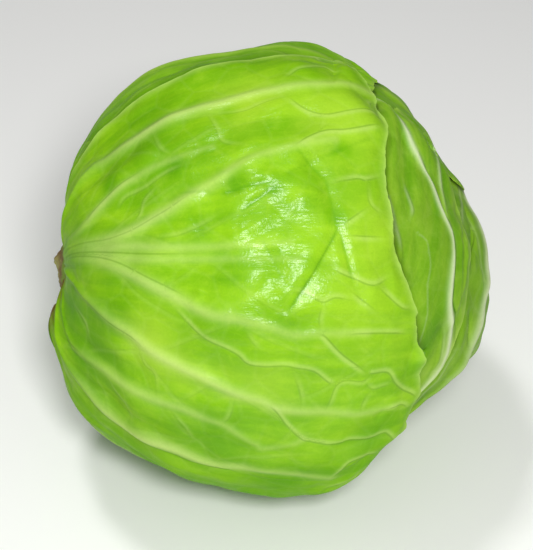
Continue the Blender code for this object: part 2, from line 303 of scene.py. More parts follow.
def branchLines(leaf, paths, chance):
    # Fine veins leave each rib in turn, bend towards the free edge and stop at the next rib;
    # each step goes cos(heading) along the ribs and sin(heading) across them
    lines = []
    order = sorted(paths, key=lambda path: np.median(path[1]))
    step = branches["step"] / head["meanRadius"]
    for left, right in zip(order[:-1], order[1:]):
        towards = chance.integers(0, 2)
        way = max(left[0][0], right[0][0]) + chance.uniform(*branches["first"])
        last = min(left[0][-1], right[0][-1]) - 0.01
        while way < last:
            source, goal, sign = (left, right, 1) if towards else (right, left, -1)
            w, t = way, float(np.interp(way, *source))
            heading = math.radians(chance.uniform(*branches["angle"]))
            ways, turns = [w], [t]
            for _ in range(branches["steps"]):
                here = arcPoint(leaf, np.array([t]), np.array([w]))
                arm, length = (float(x[0]) for x in arcPlace(leaf, here)[2:])
                w += math.cos(heading) * step / length
                t += sign * math.sin(heading) * step / arm
                heading *= chance.uniform(*branches["bend"])
                ways.append(w)
                turns.append(t)
                if sign * (float(np.interp(w, *goal)) - t) < 0 or w > last + branches["past"]:
                    break
            if len(ways) > 4:
                line = meanPoint(leaf, np.array(turns), np.array(ways))
                weight = leaf["branchWeight"] * chance.uniform(*branches["weight"])
                lines.append((line, float(chance.choice((-1, 1))), weight))
            towards = 1 - towards
            way += chance.uniform(*branches["apart"])
    return lines


def markedLines(leaf):
    # Fine veins given by pale side (1 left of the course, -1 right, 0 none), weight and places
    return [(layOut(leaf, curved(places)), float(side), weight)
            for side, weight, places in leaf["lines"]]


def nearestOn(line, points, reach):
    # Which points are near a line, how far off, where on it, and on which side (1 left, -1
    # right): each is dropped square on every stretch of the line, and the nearest foot is kept
    inside = (points > line.min(0) - reach) & (points < line.max(0) + reach)
    near = np.flatnonzero(inside.all(1))
    first, step = line[:-1], np.diff(line, axis=0)
    gap = points[near][:, None] - first
    t = np.clip((gap * step).sum(-1) / (step**2).sum(-1), 0, 1)
    off = gap - t[..., None] * step
    away = np.linalg.norm(off, axis=-1)
    nearest = away.argmin(1)
    rows = np.arange(len(near))
    turned = (np.cross(step[nearest], off[rows, nearest]) * points[near]).sum(-1)
    return near, away[rows, nearest], nearest + t[rows, nearest], np.where(turned < 0, -1.0, 1.0)


def ribField(points, veins):
    # Across a rib, a bell of the distance over its width and a lower, wider one at its foot;
    # where ribs meet, heights add as cubes and tones as overlapping films
    cubes, clear = np.zeros(len(points)), np.ones(len(points))
    for line, heights, widths, tones in veins:
        near, away, at, _ = nearestOn(line, points, 6 * widths.max())
        knots = np.arange(len(line))
        off = away / np.interp(at, knots, widths)
        crest = (1 - ribShape["foot"]) * bell(off)
        shape = crest + ribShape["foot"] * bell(off / ribShape["footWidth"])
        film = crest + ribShape["foot"] * bell(off / ribShape["footPale"])
        cubes[near] += (np.interp(at, knots, heights) * shape) ** 3
        clear[near] *= 1 - np.clip(np.interp(at, knots, tones) * film, 0, 0.98)
    return np.cbrt(cubes), 1 - clear


fineVein = {
    "reach": 0.005,
    "endKnots": 5,  # it fades over this many knots at either end
    "endShare": 0.1,  # to this share of its weight
    "band": 0.0009,  # the pale band's distance from the dark line, and its width
    "dark": 0.0018,  # the painted shade line counts up to here
    "darkFade": 0.0020,  # and fades over this
}


def lineField(points, lines):
    # Signed distance to the nearest fine vein, positive on its pale side, how strongly its dark
    # line of painted shade shows, and the pale band beside it, partly the vein's paler tissue and partly
    # painted highlight
    gap, hold, flank = np.full(len(points), 0.01), np.zeros(len(points)), np.zeros(len(points))
    knots, band = fineVein["endKnots"], fineVein["band"]
    for line, side, weight in lines:
        near, away, at, hand = nearestOn(line, points, fineVein["reach"])
        ends = smooth(at / knots) * smooth((len(line) - 1 - at) / knots)
        shows = weight * (fineVein["endShare"] + (1 - fineVein["endShare"]) * ends)
        signed = hand * (side or 1.0) * away
        flank[near] = np.maximum(flank[near], abs(side) * shows * bell((signed - band) / band))
        closer = away < np.abs(gap[near])
        gap[near[closer]] = signed[closer]
        dark = shows * (1 - smooth((away - fineVein["dark"]) / fineVein["darkFade"]))
        hold[near[closer]] = dark[closer]
    return gap, hold, flank


netShape = {
    "bend": 0.16,  # how far its threads bend, in cell sizes
    "wave": 2.1,  # radians of a bend's wave in one cell size
    "tries": 4000,
    "spacing": 0.62,  # the least distance between seeds, in cell sizes
    "batch": 12000,  # points worked on at once, to spare memory
}


def netField(points, seeds, size):
    # Distance to the border between the two nearest seeds, (b^2 - a^2) / (2 * their gap),
    # which draws a net of cells; the points are first pushed about so that its threads bend
    push = np.sin(points[:, [1, 2, 0]] * (netShape["wave"] / size) + (0.3, 1.7, 4.1))
    bent = points + netShape["bend"] * size * push
    border = np.empty(len(points))
    for part in np.array_split(np.arange(len(points)), max(1, len(points) // netShape["batch"])):
        square = ((bent[part][:, None] - seeds) ** 2).sum(-1)
        two = np.argpartition(square, 1, axis=1)[:, :2]
        a, b = (np.take_along_axis(square, two, 1)[:, k] for k in (0, 1))
        between = np.linalg.norm(seeds[two[:, 0]] - seeds[two[:, 1]], axis=-1)
        border[part] = np.abs(b - a) / (2 * between)
    return border


def netSeeds(leaf, size, chance):  # scattered over the leaf, none closer than the spacing
    turn = turnAt(leaf, chance.uniform(-1.05, 1.05, netShape["tries"]), 0.5)
    way = chance.uniform(leaf["start"], leaf["reach"] + 0.08, netShape["tries"])
    spots = meanPoint(leaf, turn, way)
    kept = spots[:1]
    for spot in spots[1:]:
        if ((kept - spot) ** 2).sum(-1).min() > (netShape["spacing"] * size) ** 2:
            kept = np.vstack([kept, spot])
    return kept


creaseShape = {
    "blunt": 0.0002,  # the radius that rounds its bottom
    "power": 1.25,
    "lineDepth": 0.0006,  # a fold 0.7 times as deep starts to show a dark line of painted shade, 1.7 times in full
    "lineWidth": 0.0005,
}


def foldField(points, folds):
    # Each fold is a straight crease with nearly flat flanks, depth * (1 - distance / flank)^power,
    # fading to its two ends. Left of its course the flank is times its skew. The second array
    # is a dark line of painted shade down the bottom of the sunken ones.
    total, line = np.zeros(len(points)), np.zeros(len(points))
    for first, last, depth, flank, skew in folds:
        step = last - first
        t = ((points - first) @ step) / (step @ step)
        off = points - first - np.clip(t, 0, 1)[:, None] * step
        away = np.sqrt((off**2).sum(-1) + creaseShape["blunt"] ** 2) - creaseShape["blunt"]
        reach = np.where((np.cross(step, off) * points).sum(-1) > 0, flank * skew, flank)
        fromMiddle = np.abs(2 * t - 1)  # 1 at either end
        fade = smooth(1.25 - fromMiddle * 0.85) * (fromMiddle < 1.6)
        total += depth * fade * np.clip(1 - away / reach, 0, 1) ** creaseShape["power"]
        deep = np.clip(-depth / creaseShape["lineDepth"] - 0.7, 0, 1)
        line = np.maximum(line, deep * fade * bell(away / creaseShape["lineWidth"]))
    return total, line


chanceFold = {  # what the folds by chance are drawn from
    "across": (-0.85, 0.85),
    "length": (0.05, 0.16),  # as a way
    "slope": 38,  # degrees that most stay within of the ribs' direction
    "depth": (0.00015, 0.00045),
    "flank": (0.005, 0.010),
    "skew": (0.5, 1.8),
}


def chanceFolds(leaf, chance):
    # Each has a middle on the leaf and ends half its length from it, at a slope to the ribs;
    # two of three are sunk, the others raised
    folds = []
    for _ in range(leaf["foldCount"]):
        way = chance.uniform(leaf["start"] + 0.10, leaf["reach"] - 0.02)
        turn = turnAt(leaf, chance.uniform(*chanceFold["across"]), way)
        length = chance.uniform(*chanceFold["length"])
        slope = math.radians(chance.normal(0, chanceFold["slope"]))
        ways = way + length * math.cos(slope) * np.array((-0.5, 0.5))
        turns = turn + 1.3 * length * math.sin(slope) * np.array((-0.5, 0.5))
        ends = meanPoint(leaf, turns, ways)
        depth = chance.choice((-1, -1, 1)) * chance.uniform(*chanceFold["depth"])
        flank, skew = chance.uniform(*chanceFold["flank"]), chance.uniform(*chanceFold["skew"])
        folds.append((*ends, depth, flank, skew))
    return folds


def markedFolds(leaf):  # folds given by both ends, their depth and flank in mm, and their skew
    return [(*layOut(leaf, (first, last)), depth / 1000, flank / 1000, skew)
            for first, last, depth, flank, skew in leaf["folds"]]


swellWaves = {"count": 42, "longest": 0.060, "shortest": 0.011, "height": 0.00016, "fall": 0.75}
streakWaves = {"count": 16, "across": (0.009, 0.024), "along": (0.060, 0.160), "height": 0.000055}


def swellField(points, chance):  # a sum of sine waves every way, height * (length / longest)^fall
    lengths = np.geomspace(swellWaves["longest"], swellWaves["shortest"], swellWaves["count"])
    axes = chance.normal(size=(swellWaves["count"], 3))
    axes = axes / np.linalg.norm(axes, axis=1)[:, None] * (2 * math.pi / lengths)[:, None]
    heights = swellWaves["height"] * (lengths / swellWaves["longest"]) ** swellWaves["fall"]
    return np.sin(points @ axes.T + chance.uniform(0, 6.28, swellWaves["count"])) @ heights


def streakField(way, turn, chance):  # a sum of long low sine waves that run with the ribs
    count = streakWaves["count"]
    across = 2 * math.pi / chance.uniform(*streakWaves["across"], count) * head["meanRadius"]
    along = 2 * math.pi / chance.uniform(*streakWaves["along"], count) * head["wayLength"]
    phase = np.outer(turn, across) + np.outer(way, along * chance.choice((-1, 1), count))
    return np.sin(phase + chance.uniform(0, 6.28, count)).sum(1) * streakWaves["height"]


def tintAndShadingField(leaf, points):  # deeper (up to 1) and paler (down to -1) places, partly the blade's own patchy green and partly painted shade and painted light: a bell round each
    total = np.zeros(len(points))
    for way, turn, size, amount in leaf["tintsAndShading"]:
        away = np.linalg.norm(points - layOut(leaf, [(way, turn)]), axis=-1)
        total += amount * bell(away / (size / 1000))
    return np.clip(total, -1, 1)


def leafPlan(leaf):  # works out a leaf's ribs, fine veins, net and folds once
    chance = np.random.default_rng(leaf["seed"])
    paths = ribPaths(leaf)
    leaf["ribs"] = ribVeins(leaf, paths)
    leaf["fine"] = markedLines(leaf) + branchLines(leaf, paths, chance)
    leaf["net"] = netSeeds(leaf, leaf["veinLook"]["cell"], chance)
    leaf["creases"] = markedFolds(leaf) + chanceFolds(leaf, chance)
    leaf["swellSeed"] = int(chance.integers(1 << 30))


skin = {
    "sheet": 0.0009,  # thickness of a blade
    "edgeSheet": 0.00045,  # and at its edges
    "edgeBand": 0.006,  # over which it thins
    "foot": 0.25,  # the share of a leaf's length over which swells, net and puffing come in
    "foldFoot": 0.12,  # and folds
    "bandRise": 0.00005,  # the pale band beside a fine vein
    "hairSink": 0.00004,  # the groove under its dark line of painted shade
    "hairWidth": 0.0006,
    "puffWidth": 0.0030,  # from the net's threads up on to the puffed cells
    "netSink": 0.00006,
    "veinFade": 0.010,  # ribs and fine veins sink to a quarter over this distance from an edge
    "rimFade": 0.0018,
    "scarFade": 0.0090,
    "openSides": 0.015,  # by the stalk the sides count as this much further off
    "bearing": 0.0008,  # past its edge a leaf still counts as lying over the next
}


def edgeLift(leaf, across, share):
    # A leaf stands off over the last fifth of its length, and its sides by 0.4 of that, in waves
    nearTip = smooth((share - 0.80) / 0.20)
    nearSide = smooth((np.abs(across) - 0.90) / 0.10) * smooth(share / 0.3)
    wave = 0.6 + 0.4 * np.sin(math.pi * leaf["waves"] * across + 2.1 * share)
    return leaf["lift"] * np.maximum(nearTip, 0.4 * nearSide) * wave


def leafSkin(level, ways):
    # A leaf's inside and outside radius at these directions, with what its material reads:
    # inside = level's radius + edge lift + swells and folds, outside = inside + sheet + veins
    leaf = leaves[level]
    look = leaf["veinLook"]
    points = ways * head["meanRadius"]
    across, share, side, tip, start = leafRooms(leaf, ways)
    turn, way = arcPlace(leaf, ways)[:2]
    chance = np.random.default_rng(leaf["swellSeed"])
    rise, pale = ribField(points, leaf["ribs"])
    gap, hold, flank = lineField(points, leaf["fine"])
    border = netField(points, leaf["net"], look["cell"])
    fold, foldShadeLine = foldField(points, leaf["creases"])
    blade = smooth(share / skin["foot"])
    settled = smooth(share / skin["foldFoot"])
    free = (1 - pale) * blade  # the net gives way to the ribs
    thread = bell(border / look["netWidth"]) * free
    sway = fold * settled + leaf["swell"] * swellField(points, chance) * (0.3 + 0.7 * blade)
    sway += leaf["swell"] * streakField(way, turn, chance) * blade
    fine = skin["bandRise"] * flank - skin["hairSink"] * hold * bell(gap / skin["hairWidth"])
    puff = look["puff"] * (1 - bell(border / skin["puffWidth"])) * free
    inside = innerRadius(level, ways) + edgeLift(leaf, across, share) + sway
    toEdge = np.minimum(tip, side)
    thick = skin["edgeSheet"] + (skin["sheet"] - skin["edgeSheet"]) * smooth(toEdge / skin["edgeBand"])
    fromRim = np.minimum(tip, side + skin["openSides"] * (1 - blade))
    fade = 0.25 + 0.75 * smooth(fromRim / skin["veinFade"])
    outside = inside + thick + (rise + fine) * fade + puff - skin["netSink"] * thread
    course = (way * head["wayLength"], turn * head["meanRadius"], np.full(len(way), 0.1 * level))
    tones = {
        "vein": np.clip(pale + look["netPale"] * thread, 0, 1),
        "line": gap * 1000,  # mm
        "lineShade": hold,
        "linePale": flank,
        "rim": np.exp(-np.maximum(fromRim, 0) / skin["rimFade"]),
        "base": 1 - smooth((degreesFrom(ways, stalkWay) - 9) / 26),
        "scar": np.exp(-np.maximum(start, 0) / skin["scarFade"]),
        "crease": foldShadeLine * settled,
        "overlapShade": overlapShadeTone(level, ways),
        "tintAndShading": tintAndShadingField(leaf, points),
        "course": np.stack(course, 1),  # metres along and across the leaf, apart for each leaf
    }
    return inside, outside, tones, toEdge


def overlapShadeTone(level, ways):  # painted shade: 1 under the leaves that lie over this one, fading past their edges
    tone = np.zeros(len(ways))
    for leaf in leaves[level + 1:]:
        room = nearestRoom(leaf, ways) + skin["bearing"]
        tone = np.maximum(tone, np.exp(np.minimum(room, 0) / leaves[level]["shade"]))
    return tone


def topBelow(level, ways):  # the highest outer face of what lies under this leaf
    top = head["heartRadius"] + lobeRise(ways, head["lobes"])
    for k in range(level):
        on = nearestRoom(leaves[k], ways) > -skin["bearing"]
        if on.any():
            outer = np.full(len(ways), -1.0)
            outer[on] = leafSkin(k, ways[on])[1]
            top = np.maximum(top, outer)
    return top


def gridFaces(rows, columns, stride):
    # The outer grid, the coarser inner grid turned over, and a rim that fans from one to the
    # other, all as triangles
    def sheetFaces(r, c, offset):  # a grid's point numbers, and each cell as two triangles
        number = np.arange(r * c).reshape(r, c) + offset
        a, b, d, e = number[:-1, :-1], number[:-1, 1:], number[1:, 1:], number[1:, :-1]
        halves = (np.stack([a, b, d], -1).reshape(-1, 3), np.stack([a, d, e], -1).reshape(-1, 3))
        return number, np.concatenate(halves)

    def loop(number):  # the numbers once round the grid's border
        return np.concatenate([number[0, :-1], number[:-1, -1], number[-1, :0:-1], number[:0:-1, 0]])

    outer, outerFaces = sheetFaces(rows, columns, 0)
    inner, innerFaces = sheetFaces((rows - 1) // stride + 1, (columns - 1) // stride + 1, rows * columns)
    fine, coarse = loop(outer), loop(inner)
    fans = np.stack([fine, np.repeat(coarse, stride), np.roll(fine, -1)], -1)
    closers = np.stack([coarse, np.roll(coarse, -1), np.roll(fine, -stride)[::stride]], -1)
    return np.concatenate([outerFaces, innerFaces[:, ::-1], fans, closers])


def show(thing):  # puts it in the scene
    bpy.context.scene.collection.objects.link(thing)
    return thing


def meshPiece(name, node, points, faces, tones, material):
    # faces holds arrays of triangles or quads; the piece rides on the body and replaces its node
    mesh = bpy.data.meshes.new(name)
    mesh.vertices.add(len(points))
    mesh.vertices.foreach_set("co", np.asarray(points, np.float32).ravel())
    sizes = np.concatenate([np.full(len(group), group.shape[1]) for group in faces])
    corners = np.concatenate([group.ravel() for group in faces])
    mesh.loops.add(len(corners))
    mesh.loops.foreach_set("vertex_index", corners.astype(np.int32))
    mesh.polygons.add(len(sizes))
    mesh.polygons.foreach_set("loop_start", (np.cumsum(sizes) - sizes).astype(np.int32))
    mesh.update(calc_edges=True)
    mesh.validate()
    mesh.shade_smooth()
    mesh.set_sharp_from_angle(angle=math.radians(58))
    for key, values in tones.items():
        kind, field = ("FLOAT_VECTOR", "vector") if values.ndim == 2 else ("FLOAT", "value")
        spread = mesh.attributes.new(key, kind, "POINT")
        spread.data.foreach_set(field, np.asarray(values, np.float32).ravel())
    mesh.materials.append(material)
    piece = show(bpy.data.objects.new(name, mesh))
    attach(piece, "root")
    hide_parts(node)
    print(name, len(mesh.polygons), "faces")


def edgeNicks(leaf, across, share):
    # How far the free edge is bitten back, as a share: sine waves for its wear, a bell for each
    # nick and wornFrom, where their sum is above 0, over the last 0.3 of the leaf
    chance = np.random.default_rng(leaf["seed"] + 7)
    worn = np.zeros_like(across)
    for length in edgeShape["worn"]:
        height = leaf["wear"] * length**0.6
        worn += height * np.sin(2 * math.pi * across / length + chance.uniform(0, 6.28))
    for place in chance.uniform(-0.95, 0.95, leaf["nicks"]):
        depth = chance.uniform(*edgeShape["nickDepth"])
        worn += depth * bell((across - place) / chance.uniform(*edgeShape["nickWidth"]))
    return np.maximum(worn + edgeShape["wornFrom"], 0) * smooth((share - 0.7) / 0.3)


fit = {
    "stride": 5,  # columns and rows of the outer grid to one of the inner
    "band": 0.016,  # how far from an edge a leaf comes down
    "liftBand": 0.012,
    "clearance": 0.00025,
    "up": -0.0010,  # the most that it moves out
    "down": 0.0026,  # and in
    "least": 0.0004,  # the thinnest that a blade may become
}


def buildLeaf(level, material):
    # A grid of share (0 at the foot, 1 at the free edge) and across (-1 to 1): the outer sheet is
    # each place's direction * its outside radius, the inner one the same at the inside radius
    leaf = leaves[level]
    rows, columns = leaf["grid"]
    share, across = np.meshgrid(np.linspace(0, 1, rows), np.linspace(-1, 1, columns), indexing="ij")
    share = share * (1 - edgeNicks(leaf, across, share))
    way = leaf["start"] + (edgeWay(leaf, across) - leaf["start"]) * share
    ways = arcPoint(leaf, turnAt(leaf, across, way), way).reshape(-1, 3)
    inside, outside, tones, toEdge = leafSkin(level, ways)

    # The free edge comes down on what lies under it, and stands off again here and there
    band = toEdge < fit["band"]
    room = inside[band] - topBelow(level, ways[band]) - fit["clearance"]
    tuck = np.minimum(np.maximum(room, fit["up"]), fit["down"]) * (1 - smooth(toEdge[band] / fit["band"]))
    wave = 0.5 + 0.5 * np.sin(13.0 * across.ravel()[band] + 1.9 * leaf["seed"])
    tuck = tuck * (1 - leaf["looseness"] * wave)
    for polar, around, hold, width in leaf["lifts"]:
        near = bell(degreesFrom(ways[band], headWay(polar, around)) / width)
        tuck -= hold * near * (1 - smooth(toEdge[band] / fit["liftBand"]))
    inside[band] -= tuck
    outside[band] -= tuck

    outer = headPoints(ways, pressDown(level, ways, outside))
    pick = np.arange(rows * columns).reshape(rows, columns)[::fit["stride"], ::fit["stride"]].ravel()
    under = np.minimum(inside[pick], outside[pick] - fit["least"])
    inner = headPoints(ways[pick], pressDown(level, ways[pick], under, skin["sheet"]))
    both = {key: np.concatenate([values, values[pick]]) for key, values in tones.items()}
    faces = [gridFaces(rows, columns, fit["stride"])]
    meshPiece(leaf["node"] + "_blade", leaf["node"], np.concatenate([outer, inner]), faces, both, material)


plainVeins = {
    "ribWidth": 0.0021, "ribRise": 0.0011,
    "ribPale": 0.62, "ribFade": 0.5,  # how much of the ribs' tone they show, and lose to their end
    "cell": 0.0175, "netWidth": 0.0009, "netPale": 0.06,
    "puff": 0.00016,  # how high the blade stands between the net's threads
}
fatVeins = {**plainVeins, "ribWidth": 0.0022, "ribRise": 0.0012}
whiteVeins = {**plainVeins, "ribPale": 0.80, "ribWidth": 0.0016, "ribRise": 0.0013, "ribFade": 0.1}
branchedVeins = {**whiteVeins, "ribPale": 0.85, "ribWidth": 0.0013, "ribRise": 0.0012, "netPale": 0.03}

# "deep" is a blade's own green, "bright", "dark" and "light" vary it, "dark" also gives painted shade in
# folds and darker patches, "edge" is its thin rim, partly painted highlight, the hair-line green is painted
# shade along its finest veins and beside the leaves that lie over it, "dried" and "scar" its browned foot
plainTones = {
    "shadeLine": "#36520c", "dried": "#7a6420", "scar": "#6b4a24",
    "gloss": 0.48, "shine": 0.05, "bump": 0.5,
    "wax": 0.12, "waxAslant": 0.04, "waxBlur": 0.27,
}

# What a leaf has unless it says otherwise. "meet" and "through" give its arcs in polar and
# round degrees, "spread" its two sides in degrees of turn. Courses are given places,
# each a way and a turn in degrees.
plainLeaf = {
    "start": 0.057, "reach": 0.58,  # the ways where it starts and ends
    "slant": 0.02, "rounding": 0.10,  # how its free edge leans and how its corners fall back
    "freeEdge": (),  # or the edge's own course, as across (-1 to 1) and way
    "swells": (),  # lobes of its own beside the head's
    "lift": 0.0003, "waves": 5,  # how far its edges stand off, and in how many waves
    "looseness": 0.4, "lifts": (),  # how loosely its free edge lies, and where it stands up more
    "fan": (  # ribs, from their across by the stalk to their across at the free edge
        (-0.7, -0.72), (-0.34, -0.38), (0.0, 0.0), (0.34, 0.38), (0.7, 0.72)),
    "ribLines": (), "ribStrengths": (),  # ribs by their courses, and each rib's strength
    "lines": (), "branchWeight": 0.8,  # fine veins: pale side, weight and course
    "folds": (), "foldCount": 26,  # both ends, depth and flank in mm, and skew; and more by chance
    "tintsAndShading": (),  # way, turn, size in mm, and deeper (+) or paler (-): the blade's own patches, painted shade and painted light
    "swell": 1.0, "nicks": 5, "wear": 0.0075,
    "shade": 0.0016,  # how fast the painted shade beside a leaf that lies over it fades
    "veinLook": plainVeins,
}

crownLeaf = {
    **plainLeaf, "node": "crown_leaf", "seed": 11, "grid": (231, 216),
    "meet": (84, 98), "through": (173, 0), "spread": (-38, 42), "start": 0.42,
    "reach": 0.85, "rounding": 0.14,
    "fan": ((-0.70, -0.72), (-0.38, -0.40), (-0.08, -0.12), (0.24, 0.26), (0.60, 0.64)),
    "ribStrengths": (0.8, 0.9, 1.3, 0.8, 0.8),
    "lines": (
        (0, 1.0, ((0.630, -9.0), (0.644, -8.4), (0.662, -7.0), (0.678, -6.6), (0.694, -7.2), (0.715, -8.2))),
        (0, 0.8, ((0.596, -13.0), (0.611, -13.5), (0.633, -13.8), (0.651, -14.9), (0.674, -14.1),
                  (0.711, -9.4))),
        (1, 0.6, ((0.600, -10.4), (0.629, -11.1), (0.657, -12.3), (0.699, -9.6))),
        (1, 0.6, ((0.571, -2.8), (0.585, -4.8), (0.599, -6.5))),
    ),
    "folds": (
        ((0.640, -8.6), (0.700, -7.0), -1.6, 4.0, 0.3), ((0.596, -13.0), (0.651, -14.9), -1.2, 3.0, 0.6),
        ((0.651, -14.9), (0.711, -9.4), -1.2, 3.0, 0.6), ((0.600, -10.4), (0.657, -12.3), 0.7, 2.4, 1.0),
        ((0.571, -2.8), (0.599, -6.5), -1.0, 3.0, 0.6), ((0.560, -8.0), (0.590, -9.0), -1.0, 3.0, 0.6),
    ),
    "tintsAndShading": ((0.66, -10.0, 6, 0.8), (0.60, -11.0, 6, 0.5), (0.70, -12.0, 8, 0.5)),
    "veinLook": whiteVeins, "foldCount": 40, "swell": 1.9,
    "tones": {
        **plainTones, "deep": "#6ea018", "bright": "#86b42a", "dark": "#487a0a", "light": "#a2c24e",
        "rib": "#d0dcb0", "shadeLine": "#243c08", "edge": "#b0ce5c", "bump": 0.6},
}
backInnerLeaf = {
    **plainLeaf, "node": "back_inner_leaf", "seed": 23, "grid": (231, 241),
    "meet": (140, -45), "through": (90, 145), "spread": (-64, 64), "start": 0.16,
    "reach": 0.74, "rounding": 0.12,
    "fan": ((-0.66, -0.7), (-0.32, -0.38), (0.0, 0.0), (0.32, 0.38), (0.66, 0.7)),
    "swell": 1.1,
    "tones": {
        **plainTones, "deep": "#689f0e", "bright": "#80b61a", "dark": "#467a04", "light": "#9ac436",
        "rib": "#b0c85c", "edge": "#a4c848"},
}
crownCoverLeaf = {
    **plainLeaf, "node": "crown_cover_leaf", "seed": 37, "grid": (241, 201),
    "meet": (105, 80), "through": (149, 0), "spread": (-50, 5), "start": 0.30,
    "reach": 0.89, "slant": -0.02, "lift": 0.0008, "fan": (),
    "ribLines": (
        ((0.31, -3.0), (0.50, 3.0), (0.560, 4.8), (0.585, 4.6), (0.600, 4.4), (0.618, 3.6),
         (0.634, 2.0), (0.649, -0.4), (0.661, -2.2), (0.683, -3.3), (0.720, -3.3), (0.735, -4.2),
         (0.746, -6.0), (0.764, -8.8), (0.782, -10.7), (0.800, -13.3), (0.817, -16.6),
         (0.840, -18.2), (0.867, -18.6), (0.885, -20.3)),
        ((0.722, -3.3), (0.734, -3.4), (0.746, -4.0), (0.768, -4.6), (0.791, -4.5), (0.813, -3.6),
         (0.840, -0.5), (0.87, 2.0)),
        ((0.31, -12.0), (0.45, -7.5), (0.58, -5.5), (0.627, -6.7), (0.644, -8.1), (0.665, -9.8),
         (0.683, -10.5), (0.697, -11.6), (0.706, -12.9), (0.707, -15.7)),
        ((0.66, -17.8), (0.670, -18.6), (0.681, -20.0), (0.691, -21.7), (0.700, -23.0),
         (0.712, -24.4), (0.722, -25.6)),
        ((0.31, -34.0), (0.48, -32.0), (0.62, -33.5), (0.75, -36.5), (0.85, -38.0)),
        ((0.31, -44.0), (0.48, -43.0), (0.62, -44.0), (0.75, -45.0), (0.84, -45.5)),
    ),
    "ribStrengths": (1.2, 0.55, 0.16, 0.42, 0.5, 0.4),
    "lines": (
        (0, 1.0, ((0.570, 8.0), (0.594, 7.2), (0.622, 5.6), (0.639, 3.8), (0.653, 1.3), (0.665, -0.9),
                  (0.683, -1.6), (0.707, -1.6), (0.722, -1.9), (0.737, -2.9), (0.750, -5.0),
                  (0.768, -7.6), (0.786, -9.6), (0.804, -12.0))),
        (1, 0.8, ((0.716, -18.1), (0.730, -17.6), (0.745, -19.0), (0.760, -20.4))),
        (-1, 0.6, ((0.583, 3.0), (0.603, 2.5), (0.620, 1.0), (0.640, -1.9))),
        # painted shade line in the gap under the face leaf's lifted edge
        (0, 1.0, ((0.590, -3.2), (0.596, -2.6), (0.601, -2.4), (0.607, -2.4))),
    ),
    "folds": (
        ((0.560, 8.0), (0.640, 3.9), -0.9, 5.0, 0.35), ((0.645, 2.6), (0.665, -1.0), -1.0, 5.0, 0.35),
        ((0.665, -1.2), (0.737, -2.8), -1.0, 5.0, 0.35), ((0.74, -3.6), (0.81, -13.4), -0.9, 6.0, 0.3),
        ((0.63, -12.0), (0.70, -16.0), -0.5, 7.0, 1.0), ((0.583, 3.1), (0.637, -1.7), -0.7, 3.5, 1.6),
        ((0.592, -3.0), (0.606, -2.4), -2.6, 2.0, 1.0),
    ),
    # the last one is painted shade in the gap under the face leaf's lifted edge
    "tintsAndShading": (
        (0.60, -3.0, 7, 0.6), (0.70, -9.0, 9, 0.3), (0.774, -14.8, 6, 0.5), (0.663, -7.0, 6, 0.4),
        (0.631, -2.0, 4, 0.7), (0.62, 4.5, 4, -0.9), (0.60, 5.5, 5, -0.9), (0.80, -3.0, 9, 0.4),
        (0.598, -3.4, 2, 1.0),
    ),
    "veinLook": branchedVeins, "foldCount": 16, "swell": 1.1, "wear": 0.0045, "looseness": 0.3,
    "tones": {
        **plainTones, "deep": "#6ca218", "bright": "#88b42a", "dark": "#468004", "light": "#a4c650",
        "rib": "#cfdcb0", "shadeLine": "#425a0e", "edge": "#aece60", "gloss": 0.46, "wax": 0.13, "bump": 0.4},
}
underLeaf = {
    **plainLeaf, "node": "under_leaf", "seed": 41, "grid": (226, 236),
    "meet": (150, 55), "through": (90, -118), "spread": (-66, 66), "foldCount": 24, "swell": 0.9,
    "tones": {
        **plainTones, "deep": "#5a960a", "bright": "#70a816", "dark": "#387202", "light": "#8cbc34",
        "rib": "#a8c85c", "edge": "#98c046"},
}
backLeaf = {
    **plainLeaf, "node": "back_leaf", "seed": 53, "grid": (226, 241),
    "meet": (150, -70), "through": (90, 116), "spread": (-66, 74),
    # painted shade in a band along the face leaf's upper edge, where it lies over this leaf
    "tintsAndShading": (
        (0.124, 60.0, 7, 0.6), (0.207, 48.0, 7, 0.6), (0.266, 46.0, 7, 0.6), (0.323, 45.5, 7, 0.6),
        (0.371, 43.0, 7, 0.6), (0.427, 40.0, 7, 0.6),
    ),
    "looseness": 0.1, "shade": 0.0045,
    "tones": {
        **plainTones, "deep": "#70ac0c", "bright": "#88c21a", "dark": "#4a8402", "light": "#a2d03a",
        "rib": "#bcd864", "shadeLine": "#36520a", "edge": "#b2d256"},
}
